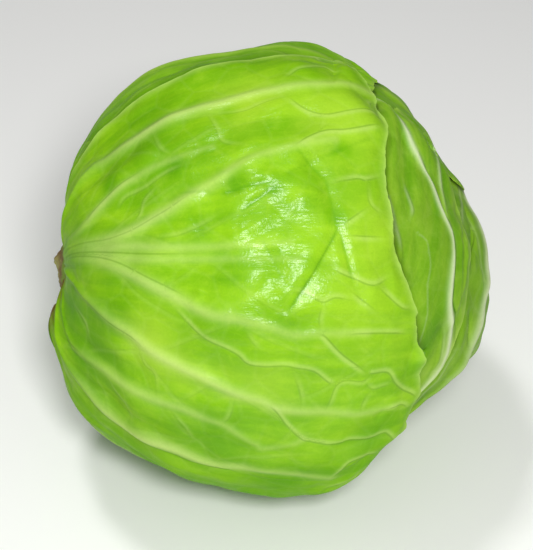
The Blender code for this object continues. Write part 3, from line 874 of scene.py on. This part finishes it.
faceLeaf = {
    **plainLeaf, "node": "face_leaf", "seed": 67, "grid": (291, 311),
    "meet": (150, 180), "through": (90, -3), "spread": (-57, 68),
    "reach": 0.60, "lift": 0.0022, "waves": 7, "swells": ((102, -84, 0.0048, 16),), "fan": (),
    "freeEdge": (
        (-1.0, 0.568), (-0.91, 0.577), (-0.77, 0.600), (-0.67, 0.594), (-0.55, 0.590), (-0.45, 0.585),
        (-0.31, 0.585), (-0.18, 0.592), (-0.03, 0.612), (0.14, 0.636), (0.20, 0.641), (0.245, 0.640),
        (0.28, 0.645), (0.36, 0.653), (0.53, 0.647), (0.65, 0.630), (0.81, 0.606), (1.0, 0.570),
    ),
    "ribLines": (
        ((0.058, -12.0), (0.134, -11.5), (0.18, -10.3), (0.227, -9.0), (0.262, -8.7), (0.312, -7.5),
         (0.359, -7.1), (0.405, -7.2), (0.46, -7.5)),
        ((0.058, -9.5), (0.134, -9.0), (0.18, -7.5), (0.241, -6.0), (0.296, -4.9), (0.359, -4.6),
         (0.41, -4.5), (0.47, -4.4)),
        ((0.058, -14.0), (0.119, -14.4), (0.181, -12.8), (0.235, -11.8), (0.268, -12.8), (0.297, -14.8),
         (0.329, -17.0), (0.351, -18.8), (0.380, -20.7), (0.410, -23.3), (0.436, -24.8),
         (0.474, -26.2), (0.52, -27.5)),
        ((0.058, -16.0), (0.12, -16.6), (0.171, -18.0), (0.213, -22.3), (0.260, -26.3), (0.276, -27.1),
         (0.311, -28.5), (0.336, -28.9), (0.38, -29.5)),
        ((0.058, -20.0), (0.085, -25.0), (0.126, -32.1), (0.206, -40.1), (0.237, -40.4),
         (0.305, -41.5), (0.360, -42.1), (0.393, -41.9), (0.441, -42.4), (0.472, -41.8),
         (0.520, -41.5), (0.560, -42.2), (0.600, -43.5)),
        ((0.058, -8.0), (0.120, -7.2), (0.201, -5.6), (0.243, -3.6), (0.276, -0.8), (0.313, 2.5),
         (0.345, 4.9), (0.373, 6.5), (0.403, 7.0), (0.430, 7.9), (0.447, 8.6), (0.470, 9.7),
         (0.499, 9.2), (0.551, 9.5)),
        ((0.058, -5.5), (0.113, -1.5), (0.157, 4.1), (0.196, 8.1), (0.232, 11.7), (0.267, 14.2),
         (0.292, 16.7), (0.339, 19.4), (0.364, 20.5), (0.390, 22.1), (0.417, 23.3), (0.439, 24.3),
         (0.458, 25.7), (0.501, 25.7), (0.558, 27.2), (0.604, 26.8)),
        ((0.058, 2.0), (0.110, 24.0), (0.160, 32.5), (0.198, 31.2), (0.236, 30.4), (0.300, 30.0),
         (0.346, 30.0), (0.378, 30.7), (0.398, 31.4), (0.418, 33.5), (0.443, 35.7), (0.453, 36.4),
         (0.494, 32.7)),
        ((0.058, 12.0), (0.095, 32.0), (0.145, 42.7), (0.184, 44.5), (0.225, 46.9), (0.254, 47.7),
         (0.287, 47.9), (0.319, 45.1), (0.352, 44.2), (0.393, 45.5), (0.432, 44.1), (0.468, 43.4),
         (0.525, 45.3), (0.547, 46.0)),
    ),
    # the last rib's large strength also whitens it, partly painted highlight along its crest
    "ribStrengths": (0.7, 0.55, 0.9, 0.6, 1.15, 0.85, 1.1, 0.7, 1.35),
    "branchWeight": 0.34,
    "lines": (
        (0, 0.7, ((0.518, -10.6), (0.497, -4.9), (0.478, 0.1), (0.457, 5.6))),
        (0, 0.9, ((0.075, -10.6), (0.14, -10.0), (0.20, -8.6), (0.241, -7.4), (0.296, -6.2), (0.36, -5.8))),
        (0, 0.7, ((0.075, -13.0), (0.13, -13.2), (0.19, -12.4), (0.235, -11.7), (0.268, -12.7),
                  (0.297, -14.9), (0.329, -17.1), (0.351, -18.9))),
        (-1, 0.8, ((0.190, -20.6), (0.213, -23.2), (0.260, -27.3), (0.290, -28.6))),
        (0, 0.9, ((0.075, -8.8), (0.150, -8.2), (0.201, -7.0), (0.243, -5.0), (0.276, -2.2),
                  (0.313, 1.1), (0.345, 3.6))),
        (0, 0.9, ((0.075, -4.0), (0.11, 1.0), (0.157, 5.2), (0.196, 9.2), (0.232, 12.6), (0.267, 15.0),
                  (0.292, 17.3))),
        (0, 1.0, ((0.128, 37.6), (0.165, 33.0), (0.198, 30.6))),
        (0, 1.0, ((0.254, 49.9), (0.287, 50.0), (0.319, 47.3), (0.352, 46.5), (0.393, 47.5), (0.43, 46.0))),
        (-1, 1.0, ((0.474, -26.1), (0.489, -27.9), (0.510, -29.3), (0.539, -29.7), (0.558, -30.4),
                  (0.582, -31.6))),
        (1, 0.7, ((0.314, -24.2), (0.287, -20.9), (0.279, -17.3), (0.272, -15.6))),
        (1, 0.9, ((0.518, 9.5), (0.551, 9.5), (0.585, 9.9), (0.612, 10.8))),
        (-1, 1.0, ((0.493, 9.4), (0.502, 10.0), (0.520, 13.0), (0.541, 15.6), (0.557, 17.6))),
        (1, 1.0, ((0.557, 17.6), (0.562, 17.8), (0.584, 18.1), (0.597, 20.8), (0.612, 23.1), (0.630, 25.1),
                  (0.641, 26.9))),
        (1, 0.9, ((0.325, 5.6), (0.347, 9.3), (0.368, 11.9), (0.389, 13.2), (0.407, 14.4), (0.422, 16.1),
                  (0.457, 15.8), (0.472, 16.2), (0.493, 16.9), (0.510, 19.1), (0.522, 20.3))),
        (1, 1.0, ((0.449, 25.3), (0.456, 26.2), (0.470, 29.1), (0.492, 32.4), (0.504, 33.2), (0.525, 34.3),
                  (0.544, 34.9), (0.555, 34.6), (0.581, 35.3), (0.601, 34.6), (0.612, 35.8), (0.636, 41.1))),
        (1, 0.7, ((0.562, 17.8), (0.553, 19.4), (0.533, 19.1), (0.522, 20.3), (0.518, 23.1), (0.514, 25.8))),
        (1, 0.6, ((0.555, 19.3), (0.567, 21.5), (0.581, 21.2), (0.595, 20.7))),
        (1, 0.6, ((0.567, 21.5), (0.558, 24.3), (0.558, 27.2))),
        (-1, 0.8, ((0.477, -39.1), (0.491, -36.1), (0.514, -33.4), (0.542, -34.0), (0.578, -35.3),
                  (0.588, -36.0))),
        (1, 0.6, ((0.513, -33.2), (0.503, -29.5))),
        (1, 0.9, ((0.503, -18.4), (0.542, -19.9), (0.555, -19.7), (0.581, -21.2))),
        (1, 0.6, ((0.555, -19.7), (0.555, -14.6), (0.577, -12.5))),
        (-1, 0.8, ((0.518, -10.4), (0.530, -11.8), (0.555, -14.6))),
        (-1, 0.8, ((0.518, -8.8), (0.546, -8.6), (0.578, -8.7))),
        (1, 0.9, ((0.507, -2.7), (0.518, -1.6), (0.534, -0.6), (0.545, 0.2), (0.558, 0.4), (0.580, -1.1))),
        (1, 0.8, ((0.558, 0.5), (0.575, 2.8), (0.593, 5.0), (0.612, 5.6))),
        (-1, 0.7, ((0.527, 1.3), (0.540, 3.0), (0.562, 5.7))),
        (1, 0.8, ((0.461, 1.7), (0.476, 2.0), (0.496, 3.5), (0.510, 2.7), (0.533, 3.3))),
        (1, 0.6, ((0.496, 3.5), (0.493, 6.4), (0.495, 9.1))),
        (1, 0.6, ((0.333, 31.2), (0.349, 33.9), (0.357, 35.2), (0.372, 40.5))),
        (1, 0.5, ((0.237, 31.8), (0.255, 35.4), (0.277, 37.6), (0.287, 46.7))),
        (1, 0.5, ((0.281, 15.9), (0.293, 22.0), (0.307, 23.6), (0.317, 29.5))),
        (1, 0.6, ((0.398, 31.4), (0.406, 29.0), (0.409, 23.4))),
        (1, 0.5, ((0.296, -9.7), (0.330, -9.9), (0.359, -11.6), (0.385, -13.8))),
        (1, 0.6, ((0.247, -19.8), (0.263, -22.6), (0.293, -23.5), (0.322, -25.6), (0.350, -26.1))),
        (1, 0.5, ((0.378, -40.2), (0.387, -34.4), (0.393, -30.1), (0.424, -26.8))),
        (1, 0.5, ((0.305, -41.2), (0.315, -33.1), (0.333, -29.1))),
        (1, 0.5, ((0.411, 8.7), (0.420, 11.2), (0.433, 13.3))),
        (1, 0.6, ((0.468, 16.8), (0.481, 21.9), (0.484, 25.2))),
        (1, 0.5, ((0.372, -39.7), (0.420, -37.5), (0.447, -38.6), (0.481, -38.9))),
        (1, 0.9, ((0.590, 27.6), (0.604, 26.8), (0.619, 27.3), (0.636, 30.2))),
        (1, 1.0, ((0.547, 46.0), (0.554, 43.8), (0.561, 40.2), (0.587, 39.9), (0.602, 40.9))),
        (1, 0.9, ((0.549, 54.3), (0.567, 49.5), (0.586, 48.6), (0.589, 45.4))),
        (1, 0.8, ((0.14, 14.0), (0.18, 19.0), (0.197, 25.0))),
        (1, 0.9, ((0.533, -55.1), (0.536, -56.0), (0.538, -54.5), (0.545, -53.6), (0.558, -53.8))),
        (1, 0.8, ((0.481, -44.3), (0.498, -46.5), (0.515, -47.3), (0.539, -49.0), (0.553, -46.0))),
        (1, 0.9, ((0.577, -36.6), (0.581, -38.6), (0.592, -40.4))),
        (0, 1.0, ((0.595, -41.0), (0.593, -38.5), (0.588, -35.5), (0.582, -34.2))),
    ),
    "folds": (
        ((0.318, -15.6), (0.372, -19.8), 1.10, 3.0, 1.6), ((0.372, -19.8), (0.405, -22.6), 0.70, 3.0, 1.6),
        ((0.403, -22.0), (0.448, -24.3), 1.20, 4.0, 1.0), ((0.379, -7.0), (0.446, -13.1), 1.30, 4.0, 1.3),
        ((0.415, -19.8), (0.446, -20.9), 0.80, 2.6, 1.4), ((0.388, -18.0), (0.442, -19.2), -1.2, 2.6, 1.5),
        ((0.408, -14.0), (0.448, -18.3), -1.00, 2.4, 1.0), ((0.335, -20.0), (0.385, -18.2), -0.60, 4.0, 1.0),
        ((0.370, -9.9), (0.407, -13.7), 0.60, 3.5, 1.0), ((0.462, -15.0), (0.502, -17.5), 1.10, 3.4, 1.3),
        ((0.516, -10.1), (0.485, -1.5), -1.00, 4.0, 1.8), ((0.485, -1.5), (0.459, 5.1), -1.00, 4.0, 1.3),
        ((0.518, -9.3), (0.530, 0.0), -0.80, 3.0, 1.0), ((0.530, 0.0), (0.544, 4.3), -0.50, 4.0, 1.0),
        ((0.477, -25.1), (0.506, -19.6), -0.70, 4.0, 1.0), ((0.506, -20.4), (0.515, -9.8), -0.80, 4.0, 1.0),
        ((0.463, -20.8), (0.528, -25.7), -0.80, 4.0, 1.0), ((0.528, -25.7), (0.569, -28.6), -0.60, 4.0, 1.0),
        ((0.584, -5.1), (0.580, 1.8), 0.60, 3.5, 1.0), ((0.350, 5.3), (0.362, 1.8), 0.60, 3.0, 1.0),
        ((0.430, 3.8), (0.451, 2.1), 0.70, 5.0, 1.0), ((0.456, 5.6), (0.465, 7.2), 0.50, 3.0, 1.0),
        ((0.490, 7.9), (0.494, 6.8), 0.40, 2.5, 1.0), ((0.346, -15.5), (0.362, -10.0), -0.50, 4.0, 1.0),
        ((0.531, 34.8), (0.597, 35.4), -0.80, 7.0, 0.2), ((0.555, 43.8), (0.588, 40.1), -0.70, 7.0, 0.25),
        ((0.416, -6.6), (0.456, -7.2), 0.50, 5.0, 1.0), ((0.591, 27.5), (0.583, 30.0), -0.50, 3.0, 1.0),
        ((0.407, 14.4), (0.428, 16.1), 0.50, 2.0, 1.6), ((0.428, 16.1), (0.472, 16.2), 0.50, 2.0, 1.6),
        ((0.20, 47.8), (0.254, 49.9), -0.80, 8.0, 0.2), ((0.254, 49.9), (0.319, 47.3), -1.10, 8.0, 0.16),
        ((0.319, 47.3), (0.420, 46.6), -1.10, 8.0, 0.16), ((0.420, 46.6), (0.540, 47.6), -0.70, 8.0, 0.25),
        ((0.549, 54.3), (0.589, 46.0), -0.60, 6.0, 0.3), ((0.590, 27.8), (0.636, 30.2), -0.50, 5.0, 0.4),
        ((0.345, 3.6), (0.420, 6.6), 0.50, 3.4, 1.2), ((0.364, 20.5), (0.430, 23.6), 0.50, 3.4, 1.2),
        ((0.400, -4.0), (0.470, -6.5), -0.50, 5.0, 1.0), ((0.455, 0.5), (0.430, -8.0), -0.60, 4.0, 1.0),
        ((0.405, 4.5), (0.450, -2.0), 0.60, 4.0, 1.0), ((0.536, -54.6), (0.566, -55.0), -0.60, 3.0, 1.0),
        ((0.600, -41.5), (0.586, -34.5), -0.80, 2.0, 1.0), ((0.539, -49.1), (0.560, -44.0), -0.40, 4.0, 1.0),
    ),
    # darker ones partly its own deeper green and partly painted shade along its lower side and beside folds;
    # paler ones partly painted light
    "tintsAndShading": (
        (0.14, 17.0, 13, 1.0), (0.22, 22.0, 14, 0.7), (0.15, -27.0, 12, 0.4), (0.31, -33.0, 14, 0.8),
        (0.30, -49.0, 14, 0.7), (0.43, -41.0, 14, -0.9), (0.20, 38.0, 10, 0.6), (0.395, 37.0, 16, 0.8),
        (0.50, 48.0, 16, 0.7), (0.585, 33.0, 10, 0.6), (0.30, 60.0, 22, 0.6), (0.45, 60.0, 22, 0.6),
        (0.56, -8.0, 20, -0.6), (0.53, -32.0, 16, -0.9), (0.44, 20.0, 12, -0.5), (0.53, 6.0, 14, -0.4),
        (0.405, -38.9, 4, 0.8), (0.402, -19.4, 4, 0.9), (0.333, -26.4, 4, 0.8), (0.447, -17.6, 3.5, 0.9),
        (0.528, -25.7, 4, 0.8), (0.239, -28.6, 4, 0.8), (0.36, -10.5, 5, 0.6), (0.39, -2.5, 6, 0.5),
        (0.27, -3.5, 7, 0.35), (0.24, 3.0, 9, 0.3), (0.35, 24.0, 9, -0.3), (0.515, -12.0, 3.5, 0.9),
        (0.45, 6.5, 4, 0.5), (0.28, -20.0, 8, 0.35), (0.30, 15.0, 13, -0.9), (0.25, -35.0, 10, 0.5),
        (0.515, -47.3, 4, 0.7), (0.550, -56.0, 4, 0.9), (0.58, 40.0, 14, 0.5), (0.19, -8.0, 10, 0.6),
        (0.46, -33.0, 6, 0.4),
    ),
    "veinLook": fatVeins, "foldCount": 14, "swell": 1.05, "nicks": 6, "wear": 0.0045, "looseness": 0.35,
    "lifts": (  # polar and round degrees, metres, width in degrees
        (132, -29, 0.0034, 3.0), (30, 57, 0.0010, 8), (44, 58, 0.0014, 9), (60, 60, 0.0016, 9),
        (75, 61, 0.0014, 9),
    ),
    "tones": {
        **plainTones, "deep": "#76b00a", "bright": "#8fc416", "dark": "#529400", "light": "#aad234",
        "rib": "#c6dc80", "shadeLine": "#527c0c", "edge": "#c0da7c", "gloss": 0.46, "shine": 0.04,
        "wax": 0.44, "bump": 0.4},
}
leaves = (crownLeaf, backInnerLeaf, crownCoverLeaf, underLeaf, backLeaf, faceLeaf)


def tone(code):  # an sRGB hex value as linear red, green, blue
    parts = [int(code[i:i + 2], 16) / 255 for i in (1, 3, 5)]
    return (*(p / 12.92 if p <= 0.04045 else ((p + 0.055) / 1.055) ** 2.4 for p in parts), 1.0)


def newMaterial(name):  # with its node tree and its Principled shader
    material = bpy.data.materials.new(name)
    material.use_nodes = True
    return material, material.node_tree, material.node_tree.nodes["Principled BSDF"]


def add(tree, kind, links=None, output=0, **settings):
    # One node: settings are its own properties, links its sockets' values or sources
    made = tree.nodes.new("ShaderNode" + kind)
    for key, value in settings.items():
        setattr(made, key, value)
    for key, value in (links or {}).items():
        if isinstance(value, bpy.types.NodeSocket):
            tree.links.new(value, made.inputs[key])
        else:
            made.inputs[key].default_value = value
    return made.outputs[output]


def layer(tree, colour, films):
    # Films of colour over one another; each follows a value from its low to its high, where
    # it has the given strength
    for value, low, high, strength, code in films:
        amount = add(tree, "MapRange",
                     {"Value": value, "From Min": low, "From Max": high, "To Max": strength})
        colour = add(tree, "Mix", {0: amount, 6: colour, 7: tone(code)}, 2, data_type="RGBA")
    return colour


def waxyLeaf(name, look):
    # Living leaf under its own wax: yellow-green blade with deeper patches and streaks along
    # its ribs, whitish ribs, hair-thin dark lines of painted shade along its fine veins, painted shade
    # in its folds and beside the leaves over it, a pale rim that is partly painted highlight, and a soft
    # gloss that fine wrinkles break up
    material, tree, shader = newMaterial(name)
    place = add(tree, "TexCoord", output="Object")
    course = add(tree, "Attribute", output="Vector", attribute_name="course")
    marks = ("vein", "line", "lineShade", "linePale", "rim", "base", "scar", "crease", "overlapShade", "tintAndShading")
    vein, line, lineShade, linePale, rim, base, scar, crease, overlapShade, tintAndShading = (
        add(tree, "Attribute", output="Fac", attribute_name=mark) for mark in marks)
    # Streaks 8 mm across and 36 mm long, clouds 30 mm, mottling 7 mm, wrinkles 4 mm across and
    # 17 mm long, and a net with cells of 5 mm. The real grain is under 0.1 mm, too fine to show,
    # and is drawn at 1 mm.
    drawn = add(tree, "Mapping", {"Vector": course, "Scale": (0.22, 1, 1)})
    streak = add(tree, "TexNoise", {"Vector": drawn, "Scale": 125.0, "Detail": 4.0, "Roughness": 0.55})
    cloud = add(tree, "TexNoise", {"Vector": place, "Scale": 33.0, "Detail": 3.0})
    mottle = add(tree, "TexNoise", {"Vector": place, "Scale": 140.0, "Detail": 5.0, "Roughness": 0.6})
    wrinkle = add(tree, "TexNoise", {"Vector": drawn, "Scale": 260.0, "Detail": 3.0, "Roughness": 0.6})
    grain = add(tree, "TexNoise", {"Vector": place, "Scale": 1000.0, "Detail": 2.0})
    cells = add(tree, "TexVoronoi", {"Vector": place, "Scale": 210.0}, feature="DISTANCE_TO_EDGE")
    # A fine vein is a dark hair line 0.6 mm wide, painted shade of its groove, with a pale band beside it
    # that is partly painted highlight
    off = add(tree, "Math", {0: line}, operation="ABSOLUTE")
    shadeLine = add(tree, "MapRange", {"Value": off, "From Min": 0.55, "From Max": 0.05},
               interpolation_type="SMOOTHSTEP")
    shadeLine = add(tree, "Math", {0: shadeLine, 1: lineShade}, operation="MULTIPLY")
    brown = add(tree, "Math", {0: base, 1: mottle}, operation="MULTIPLY")
    stain = add(tree, "Math", {0: scar, 1: mottle}, operation="MULTIPLY")
    colour = layer(tree, tone(look["deep"]), (
        (streak, 0.40, 0.62, 1.0, look["bright"]),
        (cloud, 0.46, 0.74, 0.40, look["dark"]),
        (mottle, 0.52, 0.80, 0.30, look["dark"]),
        (mottle, 0.48, 0.20, 0.35, look["light"]),
        # deeper and paler patches, partly the blade's own and partly painted shade and painted light
        (tintAndShading, 0.0, 1.0, 0.80, look["dark"]),
        (tintAndShading, 0.0, -1.0, 0.75, look["light"]),
        (cells, 0.07, 0.0, 0.07, look["light"]),
        (vein, 0.02, 0.95, 0.90, look["rib"]),
        # pale band beside each fine vein, partly its paler tissue and partly painted highlight
        (linePale, 0.0, 1.0, 0.34, look["rib"]),
        # painted shade: dark line down the bottom of sunken folds
        (crease, 0.0, 1.0, 0.90, look["dark"]),
        # painted shade: dark hair line in the groove of each fine vein
        (shadeLine, 0.0, 1.0, 0.42, look["shadeLine"]),
        # pale rim along the free edge, partly its thin tissue and partly painted highlight where the edge
        # catches the light
        (rim, 0.10, 1.0, 0.50, look["edge"]),
        (base, 0.50, 1.0, 0.30, look["dark"]),
        # painted shade beside the leaves that lie over this one
        (overlapShade, 0.1, 1.0, 0.70, look["shadeLine"]),
        (grain, 0.40, 0.70, 0.08, look["dark"]),
        (brown, 0.42, 0.62, 0.55, look["dried"]),
        (stain, 0.12, 0.40, 0.85, look["scar"]),
    ))
    tree.links.new(colour, shader.inputs["Base Color"])
    gloss = add(tree, "MapRange", {"Value": mottle, "From Min": 0.25, "From Max": 0.75,
                                   "To Min": look["gloss"] - 0.05, "To Max": look["gloss"] + 0.09})
    tree.links.new(gloss, shader.inputs["Roughness"])
    bump = add(tree, "Bump", {"Height": wrinkle, "Strength": look["bump"], "Distance": 0.0004})
    bump = add(tree, "Bump", {"Height": grain, "Strength": 0.5, "Distance": 0.00006, "Normal": bump})
    tree.links.new(bump, shader.inputs["Normal"])
    film = add(tree, "Bump", {"Height": wrinkle, "Strength": 1.0, "Distance": 0.0005})
    film = add(tree, "Bump", {"Height": mottle, "Strength": 1.0, "Distance": 0.0004, "Normal": film})
    film = add(tree, "Bump", {"Height": grain, "Strength": 1.0, "Distance": 0.00011, "Normal": film})
    tree.links.new(film, shader.inputs["Coat Normal"])
    shader.inputs["IOR"].default_value = 1.45
    shader.inputs["Specular IOR Level"].default_value = look["shine"]
    # The wax is a thin film that has little sheen seen aslant
    turned = add(tree, "LayerWeight", {"Blend": 0.5}, "Facing")
    wax = add(tree, "MapRange", {"Value": turned, "From Min": 0.12, "From Max": 0.50,
                                 "To Min": look["wax"], "To Max": look["waxAslant"]})
    tree.links.new(wax, shader.inputs["Coat Weight"])
    shader.inputs["Coat Roughness"].default_value = look["waxBlur"]
    return material


for leaf in leaves:
    leafPlan(leaf)
print("ribs, fine veins, nets and folds planned")

for level, leaf in enumerate(leaves):
    buildLeaf(level, waxyLeaf("waxy_leaf_" + leaf["node"], leaf["tones"]))

stalk = {
    "radius": 0.0142, "cut": -0.0815, "deep": -0.0400, "deepRadius": 0.0080, "bevel": 0.0022,
    "dome": 0.0026,  # how far the cut stands out towards its middle
    "knobUp": 0.0044, "knobRise": 0.0022, "knobWidth": 0.0034,  # the knob above its middle
    "grooves": ((5, 0.0, 0.0004), (17, 1.0, 0.00018)),  # count, phase, depth
    "around": 144, "sideRows": 34, "faceRows": 44,
    "pith": "#a3a45e", "ring": "#8d9157", "fibre": "#7f7a45", "browned": "#6e4d28", "skin": "#7aa02a",
    "roughness": 0.78,
}


def stalkPoints(look):
    # The stump's outline, from its inner end out to the cut and in over the cut face, turned
    # about the stalk; the cut is domed and uneven, with rings 2 mm apart, eleven fine ridges and
    # a knob
    turn = np.linspace(0, 2 * math.pi, look["around"], endpoint=False)
    s = np.linspace(0, 1, look["sideRows"])
    rimX = look["cut"] + look["bevel"] + look["dome"]
    sideX = look["deep"] + (rimX - look["deep"]) * s
    sideR = look["deepRadius"] + (look["radius"] - look["deepRadius"]) * smooth(s * 1.5)
    f = np.linspace(0.02, 0.98, look["faceRows"])
    corner = np.clip(1 - f * 9, 0, 1)
    faceR = (look["radius"] - look["bevel"]) * (1 - f) + look["bevel"] * corner
    faceX = look["cut"] + look["bevel"] * corner**2 + look["dome"] * smooth((faceR - 0.003) / 0.0105)
    x, r = np.concatenate([sideX, faceX])[:, None], np.concatenate([sideR, faceR])[:, None]
    onFace = np.concatenate([np.zeros(len(sideX)), np.ones(len(faceX))])[:, None]
    (ridges, ridgePhase, ridgeDepth), (lines, linePhase, lineDepth) = look["grooves"]
    groove = ridgeDepth * np.cos(ridges * turn + ridgePhase) - ridgeDepth
    groove = groove + lineDepth * np.cos(lines * turn + linePhase)
    radius = r + groove * smooth(r / 0.009)
    rough = 0.00030 * np.sin(3 * turn + 0.6) * smooth(r / 0.010)
    rough = rough + 0.00016 * np.sin(11 * turn - 300 * r) + 0.00014 * np.cos(3000 * r)
    toKnob = np.hypot(radius * np.cos(turn), radius * np.sin(turn) - look["knobUp"])
    depth = x + onFace * (rough - look["knobRise"] * bell(toKnob / look["knobWidth"]))
    points = radius[..., None] * (np.cos(turn)[:, None] * faceWay + np.sin(turn)[:, None] * roofWay)
    points[..., 0] += depth
    points[..., 2] += head["centreHeight"]
    ends = [(along, 0, head["centreHeight"]) for along in (look["deep"], depth[-1].mean())]
    return np.concatenate([points.reshape(-1, 3), ends]), depth.shape


def stalkFaces(rows, sides):  # quads between rings and a fan over either end
    number = np.arange(rows * sides).reshape(rows, sides)
    after = np.roll(number, -1, axis=1)
    walls = np.stack([number[:-1], after[:-1], after[1:], number[1:]], -1).reshape(-1, 4)
    first, last = np.full(sides, rows * sides), np.full(sides, rows * sides + 1)
    fans = ((first, after[0], number[0]), (last, number[-1], after[-1]))
    return [walls, *(np.stack(fan, -1) for fan in fans)]


def driedStump(name, look):
    # A cut stem a few days old: greenish fibrous pith with faint rings 2 mm apart, browned and
    # rough towards its rim, so it looks dry and matt beside the leaves. Its fibres are too fine
    # to show and are drawn 1 mm wide; the blots are 5 mm.
    material, tree, shader = newMaterial(name)
    place = add(tree, "TexCoord", output="Object")
    centred = add(tree, "Mapping", {"Vector": place, "Location": (0, 0, -head["centreHeight"])})
    flat = add(tree, "Mapping", {"Vector": centred, "Scale": (0, 1, 1)})
    out = add(tree, "VectorMath", {0: flat}, "Value", operation="LENGTH")
    fibre = add(tree, "TexNoise", {"Vector": place, "Scale": 900.0, "Detail": 4.0})
    blot = add(tree, "TexNoise", {"Vector": place, "Scale": 210.0, "Detail": 4.0})
    rings = add(tree, "Math", {0: out, 1: 3000.0}, operation="MULTIPLY")
    rings = add(tree, "Math", {0: rings}, operation="COSINE")
    worn = add(tree, "MapRange", {"Value": out, "From Min": 0.0015, "From Max": 0.0080})
    worn = add(tree, "Math", {0: worn, 1: blot}, operation="MULTIPLY")
    colour = layer(tree, tone(look["pith"]), (
        (rings, -1.0, 1.0, 0.35, look["ring"]),
        (fibre, 0.45, 0.75, 0.60, look["fibre"]),
        (worn, 0.12, 0.45, 0.85, look["browned"]),
        (out, 0.0085, 0.0118, 0.95, look["skin"]),
    ))
    tree.links.new(colour, shader.inputs["Base Color"])
    bump = add(tree, "Bump", {"Height": fibre, "Strength": 0.5, "Distance": 0.0004})
    tree.links.new(bump, shader.inputs["Normal"])
    shader.inputs["Roughness"].default_value = look["roughness"]
    return material


stumpPoints, stumpShape = stalkPoints(stalk)
stumpFaces = stalkFaces(*stumpShape)
meshPiece("stalk_stump", "stalk", stumpPoints, stumpFaces, {}, driedStump("dried_stem_pith", stalk))
print("stalk done")

heart = {"blade": "#8fae4c", "pale": "#acc474", "vein": "#c9d8a0", "roughness": 0.42}


def paleHeart(name, look):
    # Packed inner leaves that never saw the sun: pale green in clouds of 17 mm with a whiter
    # 11 mm net of veins, only slightly glossy
    material, tree, shader = newMaterial(name)
    place = add(tree, "TexCoord", output="Object")
    cloud = add(tree, "TexNoise", {"Vector": place, "Scale": 60.0, "Detail": 4.0})
    cells = add(tree, "TexVoronoi", {"Vector": place, "Scale": 90.0}, feature="DISTANCE_TO_EDGE")
    colour = layer(tree, tone(look["blade"]), (
        (cloud, 0.35, 0.65, 1.0, look["pale"]),
        (cells, 0.08, 0.0, 0.5, look["vein"]),
    ))
    tree.links.new(colour, shader.inputs["Base Color"])
    bump = add(tree, "Bump", {"Height": cells, "Strength": 0.4, "Distance": 0.0006})
    tree.links.new(bump, shader.inputs["Normal"])
    shader.inputs["Roughness"].default_value = look["roughness"]
    return material


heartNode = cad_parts["heart"]
heartNode.data.materials.clear()
heartNode.data.materials.append(paleHeart("pale_heart_leaves", heart))
print("heart done")

studio = {
    "floor": "#f6f6f4", "floorHalf": 4, "world": 0.22, "azimuth": 0.0, "elevation": 40.0,
    "distance": 0.75, "halfHeight": 0.1106,  # what the picture shows above and below its middle
    "right": 0.0018, "up": -0.0020,  # the picture's middle from the head's centre
    # square soft boxes: watts, size, and how far towards the camera, up and right
    "key": (5.6, 0.15, 0.85, 0.06, 0.08),
    "high": (3.4, 0.15, 0.60, 0.84, -0.24),
    "fill": (2.1, 1.6, 1.40, 0.40, 0.10),
}

half = studio["floorHalf"]
floorMesh = bpy.data.meshes.new("floor")
floorMesh.from_pydata([(-half, -half, 0), (half, -half, 0), (half, half, 0), (-half, half, 0)],
                      [], [(0, 1, 2, 3)])
floorLook, _, floorShader = newMaterial("matt_white_board")  # painted board, even and without gloss
floorShader.inputs["Base Color"].default_value = tone(studio["floor"])
floorShader.inputs["Roughness"].default_value = 0.8
floorMesh.materials.append(floorLook)
show(bpy.data.objects.new("floor", floorMesh))

world = bpy.data.worlds.new("soft_white_room")
world.use_nodes = True
world.node_tree.nodes["Background"].inputs["Color"].default_value = (1, 1, 1, 1)
world.node_tree.nodes["Background"].inputs["Strength"].default_value = studio["world"]
bpy.context.scene.world = world
bpy.context.scene.view_settings.view_transform = "Standard"

azimuth, elevation = math.radians(studio["azimuth"]), math.radians(studio["elevation"])
ahead = np.array((math.sin(azimuth), -math.cos(azimuth), 0.0))
back = ahead * math.cos(elevation) + np.array((0, 0, math.sin(elevation)))
right = np.array((math.cos(azimuth), math.sin(azimuth), 0.0))
up = np.cross(back, right)
centre = np.array((0, 0, head["centreHeight"]))


def aim(thing, place, goal):  # its -Z turned to the goal
    thing.location = place
    thing.rotation_euler = Vector(place - goal).to_track_quat("Z", "Y").to_euler()


goal = centre + right * studio["right"] + up * studio["up"]
camera = show(bpy.data.objects.new("camera", bpy.data.cameras.new("camera")))
camera.data.sensor_fit = "VERTICAL"
camera.data.angle = 2 * math.atan(studio["halfHeight"] / studio["distance"])
aim(camera, goal + back * studio["distance"], goal)
bpy.context.scene.camera = camera

for name in ("key", "high", "fill"):
    power, size, towards, above, beside = studio[name]
    lamp = show(bpy.data.objects.new(name + "_softbox", bpy.data.lights.new(name + "_softbox", "AREA")))
    lamp.data.energy = power
    lamp.data.size = size
    aim(lamp, centre + back * towards + up * above + right * beside, centre)
print("studio set")
